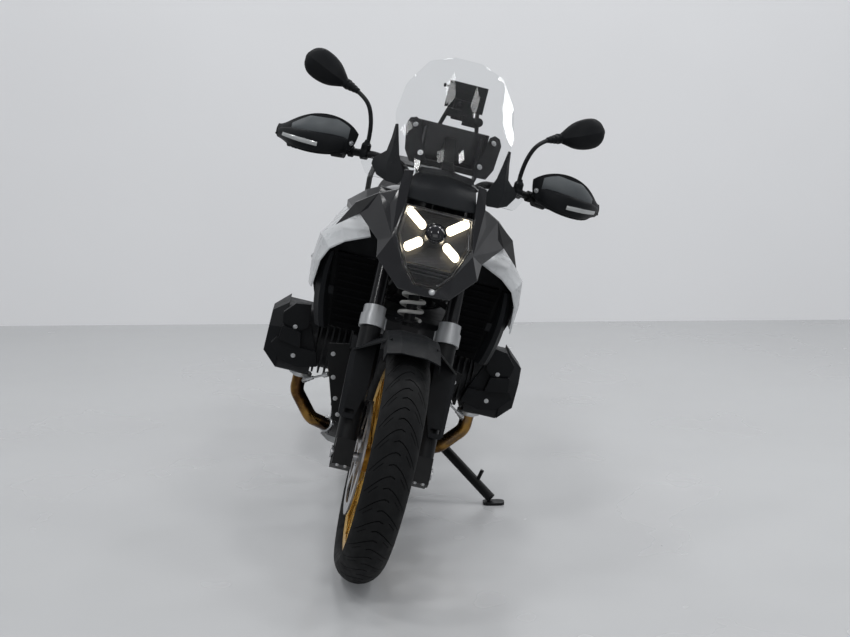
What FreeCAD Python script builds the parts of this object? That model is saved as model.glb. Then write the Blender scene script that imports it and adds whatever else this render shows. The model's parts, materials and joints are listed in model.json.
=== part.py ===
import FreeCAD, Part
import math
import os
from FreeCAD import Placement, Rotation
from FreeCAD import Vector as V

# Adventure motorcycle with a flat-twin engine, parked on its side stand.
# The bike is drawn upright first: X to the rider's left, Y to the rear, Z up,
# with the front axle over the origin. It is then steered and leaned as it parks.

# Stance
WHEELBASE = 1518.0
RAKE = 26.2
TRAIL = 112.0
LEAN = 14.1
REST_STEER = 1.1
STEER_LOCK = 38.0
STAND_FOLD = 100.0
CENTRE_X = 247.0
CENTRE_Y = 779.0

# Running clearances
PIN_GAP = 0.2
SEAT_GAP = 0.3

# Front wheel
FRONT_R = 325.0
FRONT_W = 120.0
FRONT_CROWN = 64.0
FRONT_SEAT = 241.3
FRONT_RIM_W = 76.2
FRONT_HUB_HALF = 64.0
FRONT_SPIGOT_R = 24.0
FRONT_SPOKES = 40

# Rear wheel
REAR_R = 318.0
REAR_W = 170.0
REAR_CROWN = 96.0
REAR_SEAT = 215.9
REAR_RIM_W = 114.3
REAR_BORE_R = 25.0
REAR_SPOKES = 40

# Tyre walls
TREAD_BANDS = 6
TYRE_STEPS = 76

# Rims, spokes and discs
FLANGE_H = 13.0
FLANGE_T = 6.0
RIM_WALL = 5.0
WELL_DEPTH = 11.0
SPOKE_R = 2.2
FRONT_DISC_R = 155.0
REAR_DISC_R = 138.0
DISC_T = 5.0
DISC_X = 61.0

# Fork, in a frame on the steering axis
LEG_X = 106.0
LEG_R = 29.0
COLLAR_R = 35.0
COLLAR_UP = 728.0
COLLAR_H = 60.0
STANCHION_R = 21.0
CALIPER_FRONT = 4.0
CALIPER_LOW = 60.0
YOKE_UP = 1065.0
YOKE_T = 26.0
AXLE_R = 12.5
AXLE_BORE_R = 9.0
BALL_PIN_R = 9.0
AXLE_HALF = LEG_X + LEG_R + 4.0
BRIDGE_T = 34.0
HEAD_R = 32.0
HEAD_H = 110.0

# Handlebar, guards and mirrors
BAR_R = 11.1
BAR_CLAMP_R = 16.0
GRIP_R = 17.0
GRIP_L = 120.0
LEVER_R = 5.5
STEM_R = 6.0
GUARD_T = 4.0
FENDER_T = 3.0
PANEL_T = 4.0
HUGGER_T = 3.0
SCREEN_T = 5.0
BRACKET_X = 76.0
CARRIER_HALF = 17.0

# Seats and frame rails
TANK_END = 845.0
TANK_BOSS = 202.0
RAIL_R = 13.0
SPINE_R = 17.0
CROSS_R = 10.0
TAIL_TUBE_Y = 1470.0
RAIL = [V(110, 850, 730), V(100, 960, 782), V(92, 1130, 800), V(80, 1500, 880)]

# Display
DISPLAY_Y = 424.0

# Engine
ENGINE_REAR = 800.0
GEARBOX_HALF = 84.0
CRANK_Z = 487.0
CRANK_Y = 560.0
CASE_HALF = 140.0
BARREL_R = 78.0
BARREL_OUT = 235.0
HEAD_OUT = 335.0
COVER_OUT = 379.0
HEADER_R = 20.0
TAIL_PIPE_R = 30.0

# Radiators
RADIATOR_BACK = 384.0

# Springs
COIL_STEPS = 18

# Front arm
ARM_PIVOT_X = 104.0
ARM_PIVOT_Y = 366.0
ARM_PIVOT_Z = 556.0

# Side stand, as it stands on the floor
STAND_PIVOT = V(184, 770, 292)
STAND_KNEE = V(222, 738, 226)
STAND_LEG_R = 15.0
FOOT_X = 434.0
FOOT_Y = 627.0
FOOT_LONG = 66.0
FOOT_WIDE = 44.0
FOOT_T = 8.0
STAND_PIN_R = 8.0
STAND_BOSS = 16.0

# Rear end
CARRIER_Z = 1000.0
CARRIER_T = 8.0
CARRIER_Y = 1476.0
CARRIER_BOLT_CIRCLE = 127.3
CARRIER_HOLE_R = 4.2
PIVOT_Y = 985.0
PIVOT_Z = 392.0
PIVOT_HALF = 138.0
ARM_TUBE_R = 36.0
REAR_STRUT_LOW = V(46, 1082, 404)
STRUT_PIN_R = 9.0
REAR_SPRING_R = 32.0

X_AXIS = V(1, 0, 0)
Y_AXIS = V(0, 1, 0)
Z_AXIS = V(0, 0, 1)
FRONT_AXLE = V(0, 0, FRONT_R)
REAR_AXLE = V(0, WHEELBASE, REAR_R)
SIN_RAKE = math.sin(math.radians(RAKE))
COS_RAKE = math.cos(math.radians(RAKE))
STEER_POINT = V(0, -TRAIL, 0)
STEER_AXIS = V(0, SIN_RAKE, COS_RAKE)
AXLE_AHEAD = FRONT_R * SIN_RAKE - TRAIL * COS_RAKE
AXLE_UP = (FRONT_R - AXLE_AHEAD * SIN_RAKE) / COS_RAKE
FORK_FRAME = Placement(STEER_POINT, Rotation(X_AXIS, -RAKE))


def rounded(points, radius):
    """Closed outline with every corner rounded by one radius, or by its own."""
    if radius == 0:
        return Part.makePolygon(points + points[:1])
    radii = radius if isinstance(radius, list) else [radius] * len(points)
    bends = []
    for i, corner in enumerate(points):
        back = (points[i - 1] - corner).normalize()
        ahead = (points[(i + 1) % len(points)] - corner).normalize()
        half = back.getAngle(ahead) / 2
        cut = radii[i] / math.tan(half)
        inside = (back + ahead).normalize() * (radii[i] / math.sin(half) - radii[i])
        bends.append((corner + back * cut, corner + inside, corner + ahead * cut))
    edges = []
    for i, (start, middle, end) in enumerate(bends):
        edges.append(Part.Arc(start, middle, end).toShape())
        edges.append(Part.LineSegment(end, bends[(i + 1) % len(bends)][0]).toShape())
    return Part.Wire(edges)


def side_slab(outline, x0, x1, radius=0):
    """Plate with an outline in Y and Z, from x0 to x1."""
    wire = rounded([V(x0, y, z) for y, z in outline], radius)
    return Part.Face(wire).extrude(V(x1 - x0, 0, 0))


def front_slab(outline, y0, y1, radius=0):
    """Plate with an outline in X and Z, from y0 to y1."""
    wire = rounded([V(x, y0, z) for x, z in outline], radius)
    return Part.Face(wire).extrude(V(0, y1 - y0, 0))


def plan_slab(outline, z0, z1, radius=0):
    """Plate with an outline in X and Y, from z0 to z1."""
    wire = rounded([V(x, y, z0) for x, y in outline], radius)
    return Part.Face(wire).extrude(V(0, 0, z1 - z0))


def block(x0, x1, y0, y1, z0, z1):
    return Part.makeBox(x1 - x0, y1 - y0, z1 - z0, V(x0, y0, z0))


def rod(start, end, radius):
    return Part.makeCylinder(radius, (end - start).Length, start, end - start)


def bent_rod(points, radius, bend):
    """Round bar or pipe along straight runs joined by tangent arcs."""
    edges = []
    last = points[0]
    for i in range(1, len(points) - 1):
        corner = points[i]
        back = (points[i - 1] - corner).normalize()
        ahead = (points[i + 1] - corner).normalize()
        half = back.getAngle(ahead) / 2
        cut = bend / math.tan(half)
        inside = (back + ahead).normalize() * (bend / math.sin(half) - bend)
        edges.append(Part.LineSegment(last, corner + back * cut).toShape())
        edges.append(Part.Arc(corner + back * cut, corner + inside, corner + ahead * cut).toShape())
        last = corner + ahead * cut
    edges.append(Part.LineSegment(last, points[-1]).toShape())
    path = Part.Wire(edges)
    circle = Part.Circle(points[0], points[1] - points[0], radius)
    return path.makePipeShell([Part.Wire(circle.toShape())], True, True)


def curve(points):
    """Closed smooth outline through its points."""
    spline = Part.BSplineCurve()
    spline.interpolate(Points=points, PeriodicFlag=True)
    return Part.Wire(spline.toShape())


def half_body(sections):
    """Symmetric lofted body: each section is (y, half outline from the top middle down)."""
    wires = []
    for y, half in sections:
        left = [V(x, y, z) for x, z in half]
        right = [V(-x, y, z) for x, z in reversed(half) if x > 0]
        wires.append(curve(left + right))
    return Part.makeLoft(wires, True, False)


def surface_through(rows):
    surface = Part.BSplineSurface()
    surface.interpolate([[V(*point) for point in row] for row in rows])
    return surface.toShape()


def panel(rows, thickness):
    """Curved panel of even thickness that may wrap round a corner."""
    return surface_through(rows).makeOffsetShape(thickness, 0.05, fill=True)


def strip(line, thickness):
    """Closed outline of a bent strip: a line of points and its parallel on the left, outside first."""
    far = []
    for i, (x, y) in enumerate(line):
        before = line[max(i - 1, 0)]
        after = line[min(i + 1, len(line) - 1)]
        ahead = V(after[0] - x, after[1] - y, 0) if i < len(line) - 1 else V(x - before[0], y - before[1], 0)
        back = V(x - before[0], y - before[1], 0) if i else ahead
        side_a = V(-ahead.y, ahead.x, 0).normalize()
        side_b = V(-back.y, back.x, 0).normalize()
        mitre = (side_a + side_b) * (thickness / (1 + side_a.dot(side_b)))
        far.append((x + mitre.x, y + mitre.y))
    return list(line) + list(reversed(far))


def level_wire(outline, z):
    points = [V(x, y, z) for x, y in outline]
    return Part.makePolygon(points + points[:1])


def skin(rows, thickness):
    """Curved panel through rows of points, thickened along one vector."""
    return surface_through(rows).extrude(thickness)


def mirrored(shape):
    return shape.mirror(V(0, 0, 0), X_AXIS)


def both_sides(shape):
    """The shape and its mirror image, as separate solids."""
    return Part.makeCompound([shape, mirrored(shape)])


def joined(shapes):
    whole = shapes[0].fuse(shapes[1:])
    return whole.removeSplitter()


def in_fork(shape):
    """A shape drawn on the steering axis, put in the upright bike."""
    return shape.transformed(FORK_FRAME.toMatrix(), True)


def steer_turn():
    """The small turn to the left that the front end has at rest."""
    turn = Rotation(STEER_AXIS, REST_STEER)
    return Placement(STEER_POINT - turn.multVec(STEER_POINT), turn)


def lowest(axle, plane_normal, radius, crown):
    """Height of the lowest point of a leaning tyre."""
    across = plane_normal.z
    return axle.z - (radius - crown) * math.sqrt(1 - across ** 2) - crown


def parked():
    """Lean on the stand, with both tyres on the floor and the origin in the middle."""
    lean = Rotation(Y_AXIS, LEAN)
    pitch = 0.0
    for _ in range(4):
        stance = Placement(V(0, 0, 0), Rotation(X_AXIS, math.degrees(pitch)) * lean)
        front = stance * steer_turn()
        front_low = lowest(front.multVec(FRONT_AXLE), front.Rotation.multVec(X_AXIS), FRONT_R, FRONT_CROWN)
        rear_low = lowest(stance.multVec(REAR_AXLE), stance.Rotation.multVec(X_AXIS), REAR_R, REAR_CROWN)
        pitch -= (rear_low - front_low) / WHEELBASE
    return Placement(V(-CENTRE_X, -CENTRE_Y, -front_low), stance.Rotation)


PARKED = parked()
TO_BIKE = PARKED.inverse()


def tyre(axle, radius, width, crown, seat, rim_width):
    """Tyre of few flat bands: bead, bulged side wall and rounded tread."""
    half = width / 2
    bead = rim_width / 2 - PIN_GAP
    shoulder = radius - crown + math.sqrt(crown ** 2 - half ** 2)
    flange = seat + FLANGE_H
    bulge = V(bead + 0.75 * (half - bead), 0, flange + 0.3 * (shoulder - flange))
    tread = Part.Arc(V(half, 0, shoulder), V(0, 0, radius), V(-half, 0, shoulder)).discretize(TREAD_BANDS + 1)
    side = [V(bead, 0, seat + PIN_GAP), V(bead, 0, flange + 1), bulge]
    points = side + tread + [V(-p.x, 0, p.z) for p in reversed(side)]
    section = Part.makePolygon(points + points[:1])
    wires = [section.rotated(V(0, 0, 0), X_AXIS, 360.0 * k / TYRE_STEPS) for k in range(TYRE_STEPS)]
    return Part.makeLoft(wires, True, True, True).translated(axle)


def rim(seat, rim_width):
    h = rim_width / 2
    flange = seat + FLANGE_H
    well = seat - WELL_DEPTH
    half = [(h + FLANGE_T, flange - 1), (h + FLANGE_T - 2, flange), (h, flange), (h, seat),
            (h - 16, seat - 1),
            (h - 23, well)]
    under = [(h + FLANGE_T, flange - 7), (h + 1, seat - RIM_WALL), (h - 14, seat - 1 - RIM_WALL),
             (h - 21, well - RIM_WALL)]
    right = half + [(-x, r) for x, r in reversed(half)]
    left = [(-x, r) for x, r in under] + list(reversed(under))
    points = [V(x, 0, r) for x, r in right + left]
    return Part.Face(Part.makePolygon(points + points[:1])).revolve(V(0, 0, 0), X_AXIS, 360)


def spoke(start, end):
    """Six-sided wire spoke."""
    way = end - start
    turn = Rotation(Z_AXIS, way)
    corners = []
    for k in range(6):
        angle = math.radians(60 * k)
        corners.append(start + turn.multVec(V(SPOKE_R * math.cos(angle), SPOKE_R * math.sin(angle), 0)))
    return Part.Face(Part.makePolygon(corners + corners[:1])).extrude(way)


def spokes(count, rim_x, rim_r, hub_x, hub_r, lead):
    """Spokes in crossing pairs on both sides of the hub."""
    out = []
    for side in (1, -1):
        for i in range(count // 2):
            at = 360.0 / (count // 2) * (i + (0.25 if side > 0 else 0.75))
            sweep = lead if i % 2 else -lead
            outer = Rotation(X_AXIS, at).multVec(V(side * rim_x, 0, rim_r))
            inner = Rotation(X_AXIS, at + sweep).multVec(V(side * hub_x, 0, hub_r))
            out.append(spoke(inner, outer))
    return out


def turned(profile, x_shift=0.0):
    """Solid of revolution about X from (x, r) points."""
    points = [V(x + x_shift, 0, r) for x, r in profile]
    return Part.Face(Part.makePolygon(points + points[:1])).revolve(V(0, 0, 0), X_AXIS, 360)


def disc_brake(side, x, outer, ring_w, hub_r, hub_x, bore):
    """Brake disc on a five-armed carrier that sits on the hub end."""
    ring = turned([(x, outer - ring_w), (x + side * DISC_T, outer - ring_w), (x + side * DISC_T, outer),
                   (x, outer)])
    boss = turned([(hub_x, bore), (x + side * DISC_T, bore), (x + side * DISC_T, hub_r), (hub_x, hub_r)])
    arms = []
    for k in range(5):
        angle = 72.0 * k
        bar = block(min(x, x + side * DISC_T), max(x, x + side * DISC_T), -11, 11, hub_r - 6,
                    outer - ring_w + 2)
        arms.append(bar.rotated(V(0, 0, 0), X_AXIS, angle))
    return joined([ring, boss] + arms)


def saddle(arch, thickness, sweep, start):
    """Mudguard over a tyre: an arched section swept about the axle."""
    over = [(x * (1 + thickness / abs(x)), r + thickness) for x, r in reversed(arch)]
    points = [V(x, 0, r) for x, r in arch + over]
    face = Part.Face(Part.makePolygon(points + points[:1]))
    return face.revolve(V(0, 0, 0), X_AXIS, -sweep).rotated(V(0, 0, 0), X_AXIS, start)


def front_rim():
    bore = AXLE_R + PIN_GAP
    h = FRONT_HUB_HALF
    hub = turned([(-h, bore), (h, bore), (h, FRONT_SPIGOT_R), (51.7, FRONT_SPIGOT_R), (51.7, 34), (34, 34),
                  (34, 47), (28, 47), (24, 27),
                  (-24, 27), (-28, 47), (-34, 47), (-34, 34), (-51.7, 34), (-51.7, FRONT_SPIGOT_R),
                  (-h, FRONT_SPIGOT_R)])
    rim_x = FRONT_RIM_W / 2 + 1
    wires = spokes(FRONT_SPOKES, rim_x, FRONT_SEAT - 2, 31, 43, 34)
    return joined([rim(FRONT_SEAT, FRONT_RIM_W), hub] + wires).translated(FRONT_AXLE)


def front_discs():
    right = disc_brake(1, DISC_X, FRONT_DISC_R, 32, 50, 52, FRONT_SPIGOT_R + SEAT_GAP)
    return both_sides(right.translated(FRONT_AXLE))


def rear_rim():
    bore = REAR_BORE_R
    hub = turned([(-52, bore), (66, bore), (66, 70), (58, 70), (58, 44), (46, 42), (46, 56), (40, 56),
                  (36, 38),
                  (-36, 38), (-40, 56), (-46, 56), (-46, 36), (-52, 36)])
    rim_x = REAR_RIM_W / 2 + 1
    wires = spokes(REAR_SPOKES, rim_x, REAR_SEAT - 2, 43, 52, 36)
    return joined([rim(REAR_SEAT, REAR_RIM_W), hub] + wires).translated(REAR_AXLE)


def rear_disc():
    right = disc_brake(-1, -62, REAR_DISC_R, 30, 52, -52, REAR_BORE_R + 1)
    return right.translated(REAR_AXLE)


def fork_sliders():
    """Lower legs with the axle clamps and the ears of the calipers."""
    foot = AXLE_UP - 36
    legs = []
    for side in (1, -1):
        leg = Part.makeCylinder(LEG_R, COLLAR_UP - COLLAR_H / 2 - foot, V(side * LEG_X, -AXLE_AHEAD, foot))
        clamp = block(side * LEG_X - 26, side * LEG_X + 26, -AXLE_AHEAD - 34, -AXLE_AHEAD + 34, foot,
                      foot + 72)
        ears = []
        for up in (CALIPER_LOW + 8, CALIPER_LOW + 78):
            ears.append(block(min(side * 84, side * 98), max(side * 84, side * 98), -AXLE_AHEAD,
                              CALIPER_FRONT - SEAT_GAP, AXLE_UP + up, AXLE_UP + up + 18))
        bore = Part.makeCylinder(STANCHION_R + PIN_GAP, COLLAR_UP, V(side * LEG_X, -AXLE_AHEAD, foot + 300))
        axle = Part.makeCylinder(AXLE_R + PIN_GAP, 80, V(side * LEG_X - 40, -AXLE_AHEAD, AXLE_UP), X_AXIS)
        legs.append(in_fork(joined([leg, clamp] + ears).cut([bore, axle])))
    return Part.makeCompound(legs)


def fork_bridge():
    """Two-step collars on both legs, tied by the bridge that holds the ball joint."""
    low = COLLAR_UP - COLLAR_H / 2
    parts = []
    cuts = []
    for side in (1, -1):
        base = V(side * LEG_X, -AXLE_AHEAD, low)
        parts.append(Part.makeCylinder(COLLAR_R, COLLAR_H * 0.58, base))
        parts.append(Part.makeCylinder(COLLAR_R - 4, COLLAR_H, base))
        cuts.append(Part.makeCylinder(STANCHION_R + PIN_GAP, COLLAR_H + 2, base - V(0, 0, 1)))
    plan = [(LEG_X, -AXLE_AHEAD - 16), (LEG_X, -AXLE_AHEAD + 22), (30, 26), (-30, 26),
            (-LEG_X, -AXLE_AHEAD + 22),
            (-LEG_X, -AXLE_AHEAD - 16), (-24, -26), (24, -26)]
    parts.append(plan_slab(plan, low + 2, low + BRIDGE_T))
    cuts.append(Part.makeCylinder(BALL_PIN_R + PIN_GAP, BRIDGE_T + 4, V(0, 0, low)))
    return in_fork(joined(parts).cut(cuts))


def fork_tubes():
    """Upper tubes and the top yoke that clamps them."""
    low = COLLAR_UP - COLLAR_H / 2
    parts = []
    for side in (1, -1):
        base = V(side * LEG_X, -AXLE_AHEAD, low - 40)
        parts.append(Part.makeCylinder(STANCHION_R, YOKE_UP + YOKE_T + 4 - low + 40, base))
        parts.append(Part.makeCylinder(LEG_R, YOKE_T, V(side * LEG_X, -AXLE_AHEAD, YOKE_UP)))
    seat = rod(V(-80, BAR_MIDDLE.y, BAR_MIDDLE.z), V(80, BAR_MIDDLE.y, BAR_MIDDLE.z), BAR_CLAMP_R)
    plan = [(LEG_X, -AXLE_AHEAD - 22), (LEG_X, -AXLE_AHEAD + 26), (46, 34), (-46, 34),
            (-LEG_X, -AXLE_AHEAD + 26),
            (-LEG_X, -AXLE_AHEAD - 22), (-30, -34), (30, -34)]
    parts.append(plan_slab(plan, YOKE_UP, YOKE_UP + YOKE_T))
    for side in (1, -1):
        parts.append(Part.makeCylinder(15, 62 + BAR_CLAMP_R, V(side * 48, 8, YOKE_UP)))
    return in_fork(joined(parts)).cut(seat)


BAR_MIDDLE = FORK_FRAME.multVec(V(0, 8, YOKE_UP + 62 + BAR_CLAMP_R))
BAR_RISE = V(122, BAR_MIDDLE.y + 20, BAR_MIDDLE.z + 54)
BAR_BACK = V(200, BAR_MIDDLE.y + 50, BAR_MIDDLE.z + 56)
BAR_END = V(432, BAR_MIDDLE.y + 138, BAR_MIDDLE.z + 28)
PERCH_AT = V(0, -34, 2)
PERCH_R = 11.0


def handlebar():
    left = [V(60, BAR_MIDDLE.y, BAR_MIDDLE.z), BAR_RISE, BAR_BACK, BAR_END]
    points = [V(-p.x, p.y, p.z) for p in reversed(left)] + left
    bar = bent_rod(points, BAR_R, 40)
    thick = rod(V(-78, BAR_MIDDLE.y, BAR_MIDDLE.z), V(78, BAR_MIDDLE.y, BAR_MIDDLE.z), BAR_CLAMP_R - PIN_GAP)
    return joined([bar, thick])


def along_bar(distance):
    """Point on the outer straight of the handlebar, measured in from its end."""
    way = (BAR_BACK - BAR_END).normalize()
    return BAR_END + way * distance


def grips():
    grip = rod(along_bar(0), along_bar(GRIP_L), GRIP_R)
    weight = rod(along_bar(-14), along_bar(0), GRIP_R - 2)
    bore = rod(along_bar(0), along_bar(GRIP_L + 1), BAR_R + PIN_GAP)
    return both_sides(joined([grip, weight]).cut(bore))


def bar_controls():
    """Switch housing, lever perch and lever on each side."""
    start = along_bar(GRIP_L + 4)
    housing = rod(start, along_bar(GRIP_L + 40), 23)
    perch = rod(start + PERCH_AT, along_bar(GRIP_L + 44) + PERCH_AT, PERCH_R)
    tie = rod(along_bar(GRIP_L + 24), along_bar(GRIP_L + 24) + PERCH_AT, PERCH_R)
    lever = bent_rod([start + PERCH_AT, along_bar(GRIP_L - 30) + V(0, -58, -4),
                      along_bar(10) + V(0, -54, -8)],
                     LEVER_R, 40)
    bore = rod(along_bar(GRIP_L - 10), along_bar(GRIP_L + 60), BAR_R + PIN_GAP)
    return both_sides(joined([housing, perch, tie, lever]).cut(bore))


def hand_guards():
    """Curved guard ahead of each grip, carried at the bar end and by an inner arm."""
    rows = [[(258, 418, 1126), (262, 414, 1100), (270, 412, 1080)],
            [(320, 402, 1160), (322, 392, 1108), (330, 396, 1052)],
            [(400, 428, 1150), (402, 412, 1098), (410, 418, 1044)],
            [(452, 480, 1114), (456, 470, 1082), (450, 476, 1048)],
            [(484, 540, 1092), (487, 532, 1072), (480, 536, 1054)]]
    shell = skin(rows, V(-1.4, GUARD_T, 0))
    arm = rod(along_bar(-2), V(485, 535.5, 1070), 9)
    clamp_at = along_bar(GRIP_L + 54)
    clamp = rod(clamp_at, along_bar(GRIP_L + 66), 16)
    inner = rod(clamp_at + V(0, 0, 4), V(clamp_at.x + 2, 414, 1092), 5.5)
    weight = rod(along_bar(-14 - SEAT_GAP), along_bar(30), GRIP_R + SEAT_GAP)
    bore = rod(along_bar(GRIP_L + 30), along_bar(GRIP_L + 90), BAR_R + PIN_GAP)
    return both_sides(joined([joined([shell, arm]).cut(weight), joined([clamp, inner]).cut(bore)]))


def mirrors():
    """Mirror heads on cranked stems, each clamped round the bar."""
    clamp = rod(along_bar(GRIP_L + 90), along_bar(GRIP_L + 112), 17)
    bore = rod(along_bar(GRIP_L + 80), along_bar(GRIP_L + 120), BAR_R + PIN_GAP)
    base = along_bar(GRIP_L + 101) + V(0, 0, 13)
    joint = V(298, 556, 1240)
    stem = bent_rod([base, V(base.x - 2, base.y + 8, 1150), V(256, 486, 1220), joint], STEM_R, 30)
    head_rows = [(0, [(-92, -30), (-96, 4), (-60, 34), (70, 46), (92, 30), (84, -14), (20, -44)]),
                 (26, [(-86, -26), (-90, 4), (-56, 28), (66, 40), (86, 26), (78, -12), (20, -38)]),
                 (44, [(-50, -12), (-52, 6), (-30, 16), (40, 22), (50, 14), (44, -4), (14, -18)])]
    middle = V(366, 590, 1284)
    wires = []
    for depth, outline in head_rows:
        wires.append(curve([middle + V(x, -depth, z) for x, z in outline]))
    head = Part.makeLoft(wires, True, False)
    neck = rod(joint, middle + V(-40, -20, -14), 9)
    return both_sides(joined([clamp.cut(bore), stem, head, neck]))


def front_fender():
    """Saddle over the tyre with a long tapered guard down the front of each fork leg."""
    inner = FRONT_R + 18
    half = FRONT_W / 2 + 12
    arch = [(half, inner - 26), (half - 4, inner + 1), (half * 0.45, inner + 12), (-half * 0.45, inner + 12),
            (4 - half, inner + 1), (-half, inner - 26)]
    shell = saddle(arch, FENDER_T, 46, 22).translated(FRONT_AXLE)
    plan = [(-34, -18), (-34, -34), (-24, -46), (28, -46), (41, -34), (41, -18)]
    inside = [(38, -17), (38, -32.5), (26.5, -43), (-22.5, -43), (-31, -32.5), (-31, -17)]
    low = AXLE_UP + 88
    top = AXLE_UP + FRONT_R + 8
    taper = [(LEG_X - 35, low + 130), (LEG_X - 6, low + 12), (LEG_X - 2, low), (LEG_X + 28, low),
             (LEG_X + 38, low + 12), (LEG_X + 42, top - 62), (LEG_X - 35, top)]
    guards = []
    for side in (1, -1):
        outline = [(side * (LEG_X + x), -AXLE_AHEAD + y) for x, y in plan + inside]
        sheet = plan_slab(outline, low, top)
        trim = front_slab([(side * x, up) for x, up in taper], -AXLE_AHEAD - 60, -AXLE_AHEAD)
        eye = V(side * (LEG_X + 13), -AXLE_AHEAD - 60, low + 20)
        slot = Part.makeCylinder(6, 30, eye - V(9, 0, 0), Y_AXIS).fuse(Part.makeCylinder(6, 30,
                                                                                         eye + V(9, 0,
                                                                                                 0), Y_AXIS))
        slot = slot.fuse(block(eye.x - 9, eye.x + 9, eye.y, eye.y + 30, eye.z - 6, eye.z + 6))
        guards.append(in_fork(sheet.common(trim).cut(slot)))
        leg = V(side * LEG_X, -AXLE_AHEAD, top - 90)
        boss = Part.makeCylinder(9, 45, leg, -Y_AXIS).cut(Part.makeCylinder(LEG_R + SEAT_GAP, 40,
                                                                            leg - V(0, 0, 20)))
        guards.append(in_fork(boss))
        shoulder = [V(side * 60, -70, FRONT_R + 352), V(side * 146, 90, FRONT_R + 266),
                    V(side * 74, 104, FRONT_R + 312)]
        guards.append(Part.Face(Part.makePolygon(shoulder + shoulder[:1])).extrude(V(0, 4, -7)))
    return joined([shell] + guards)


def brake_calipers():
    """Four-piston calipers behind the fork legs, astride the discs."""
    y, z = CALIPER_FRONT, AXLE_UP + CALIPER_LOW
    body = side_slab([(y, z), (y, z + 112), (y + 42, z + 112), (y + 98, z + 70), (y + 98, z + 26),
                      (y + 54, z)],
                     DISC_X - 12, 92, 8)
    slot = Part.makeCylinder(FRONT_DISC_R + 6, DISC_T + 10.4, V(DISC_X - 5.2, -AXLE_AHEAD, AXLE_UP), X_AXIS)
    return both_sides(in_fork(body.cut(slot)))


def front_axle():
    half = AXLE_HALF
    axle = Part.makeCylinder(AXLE_R, 2 * half, V(-half, 0, 0), X_AXIS)
    collar = Part.makeCylinder(AXLE_R + 4, 3.5, V(-half, 0, 0), X_AXIS)
    far = Part.makeCylinder(AXLE_R + 4, 3.5, V(half - 3.5, 0, 0), X_AXIS)
    bore = Part.makeCylinder(AXLE_BORE_R, 2 * half + 2, V(-half - 1, 0, 0), X_AXIS)
    return joined([axle, collar, far]).cut(bore).translated(FRONT_AXLE)


def a_arm():
    """Trailing A-arm with its ball pin in the fork bridge and ears for the spring strut."""
    low = COLLAR_UP - COLLAR_H / 2
    boss = in_fork(Part.makeCylinder(22, 24, V(0, 0, low - 25)))
    pin = in_fork(Part.makeCylinder(BALL_PIN_R, 34, V(0, 0, low - 8)))
    ball = FORK_FRAME.multVec(V(0, 8, low - 17))
    fall = (ARM_PIVOT_Z - ball.z) / (ARM_PIVOT_Y - ball.y)
    under_strut = ball.z + fall * (STRUT_LOW.y - ball.y)
    parts = [boss, pin]
    for side in (1, -1):
        pivot = V(side * ARM_PIVOT_X, ARM_PIVOT_Y, ARM_PIVOT_Z)
        parts.append(rod(ball + V(side * 8, 0, 0), pivot, 11))
        parts.append(rod(pivot - V(22, 0, 0), pivot + V(22, 0, 0), 18))
        ear = side_slab([(STRUT_LOW.y - 16, under_strut - 8), (STRUT_LOW.y - 12, STRUT_LOW.z + 5),
                         (STRUT_LOW.y + 12, STRUT_LOW.z + 5), (STRUT_LOW.y + 16, under_strut - 8)],
                        side * (STRUT_EYE + SEAT_GAP), side * (STRUT_EYE + 9), 6)
        parts.append(ear)
    parts.append(rod(V(-56, STRUT_LOW.y + 6, under_strut + 5), V(56, STRUT_LOW.y + 6, under_strut + 5), 13))
    return joined(parts)


STRUT_LOW = V(0, 282, 640)
STRUT_HIGH = FORK_FRAME.multVec(V(0, 21.2, YOKE_UP - 125))
STRUT_EYE = 14.0
SPRING_LOW = 26.0
SPRING_HIGH = 170.0


def front_strut():
    way = (STRUT_HIGH - STRUT_LOW).normalize()
    eye = rod(STRUT_LOW - V(STRUT_EYE, 0, 0), STRUT_LOW + V(STRUT_EYE, 0, 0), 15)
    damper = rod(STRUT_LOW + way * 8, STRUT_HIGH, 16)
    seat_low = rod(STRUT_LOW + way * (SPRING_LOW - 6), STRUT_LOW + way * SPRING_LOW, 38)
    seat_high = rod(STRUT_LOW + way * SPRING_HIGH, STRUT_LOW + way * (SPRING_HIGH + 16), 38)
    return joined([eye, damper, seat_low, seat_high])


def coil(start, end, radius, wire_r, turns):
    """Open coil spring as a six-sided wire, stepped round its turns."""
    length = (end - start).Length - 2 * wire_r
    steps = int(COIL_STEPS * turns)
    wires = []
    for i in range(steps + 1):
        angle = 2 * math.pi * turns * i / steps
        outward = V(math.cos(angle), math.sin(angle), 0)
        middle = outward * radius + Z_AXIS * (wire_r + length * i / steps)
        ring = []
        for k in range(6):
            corner = math.radians(60 * k + 30)
            ring.append(middle + outward * (wire_r * math.cos(corner)) + Z_AXIS * (wire_r * math.sin(corner)))
        wires.append(Part.makePolygon(ring + ring[:1]))
    spring = Part.makeLoft(wires, True, True)
    place = Placement(start, Rotation(Z_AXIS, end - start))
    return spring.transformed(place.toMatrix(), True)


def front_spring():
    way = (STRUT_HIGH - STRUT_LOW).normalize()
    return coil(STRUT_LOW + way * (SPRING_LOW + PIN_GAP), STRUT_LOW + way * (SPRING_HIGH - PIN_GAP), 31, 5.5,
                5)


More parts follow.
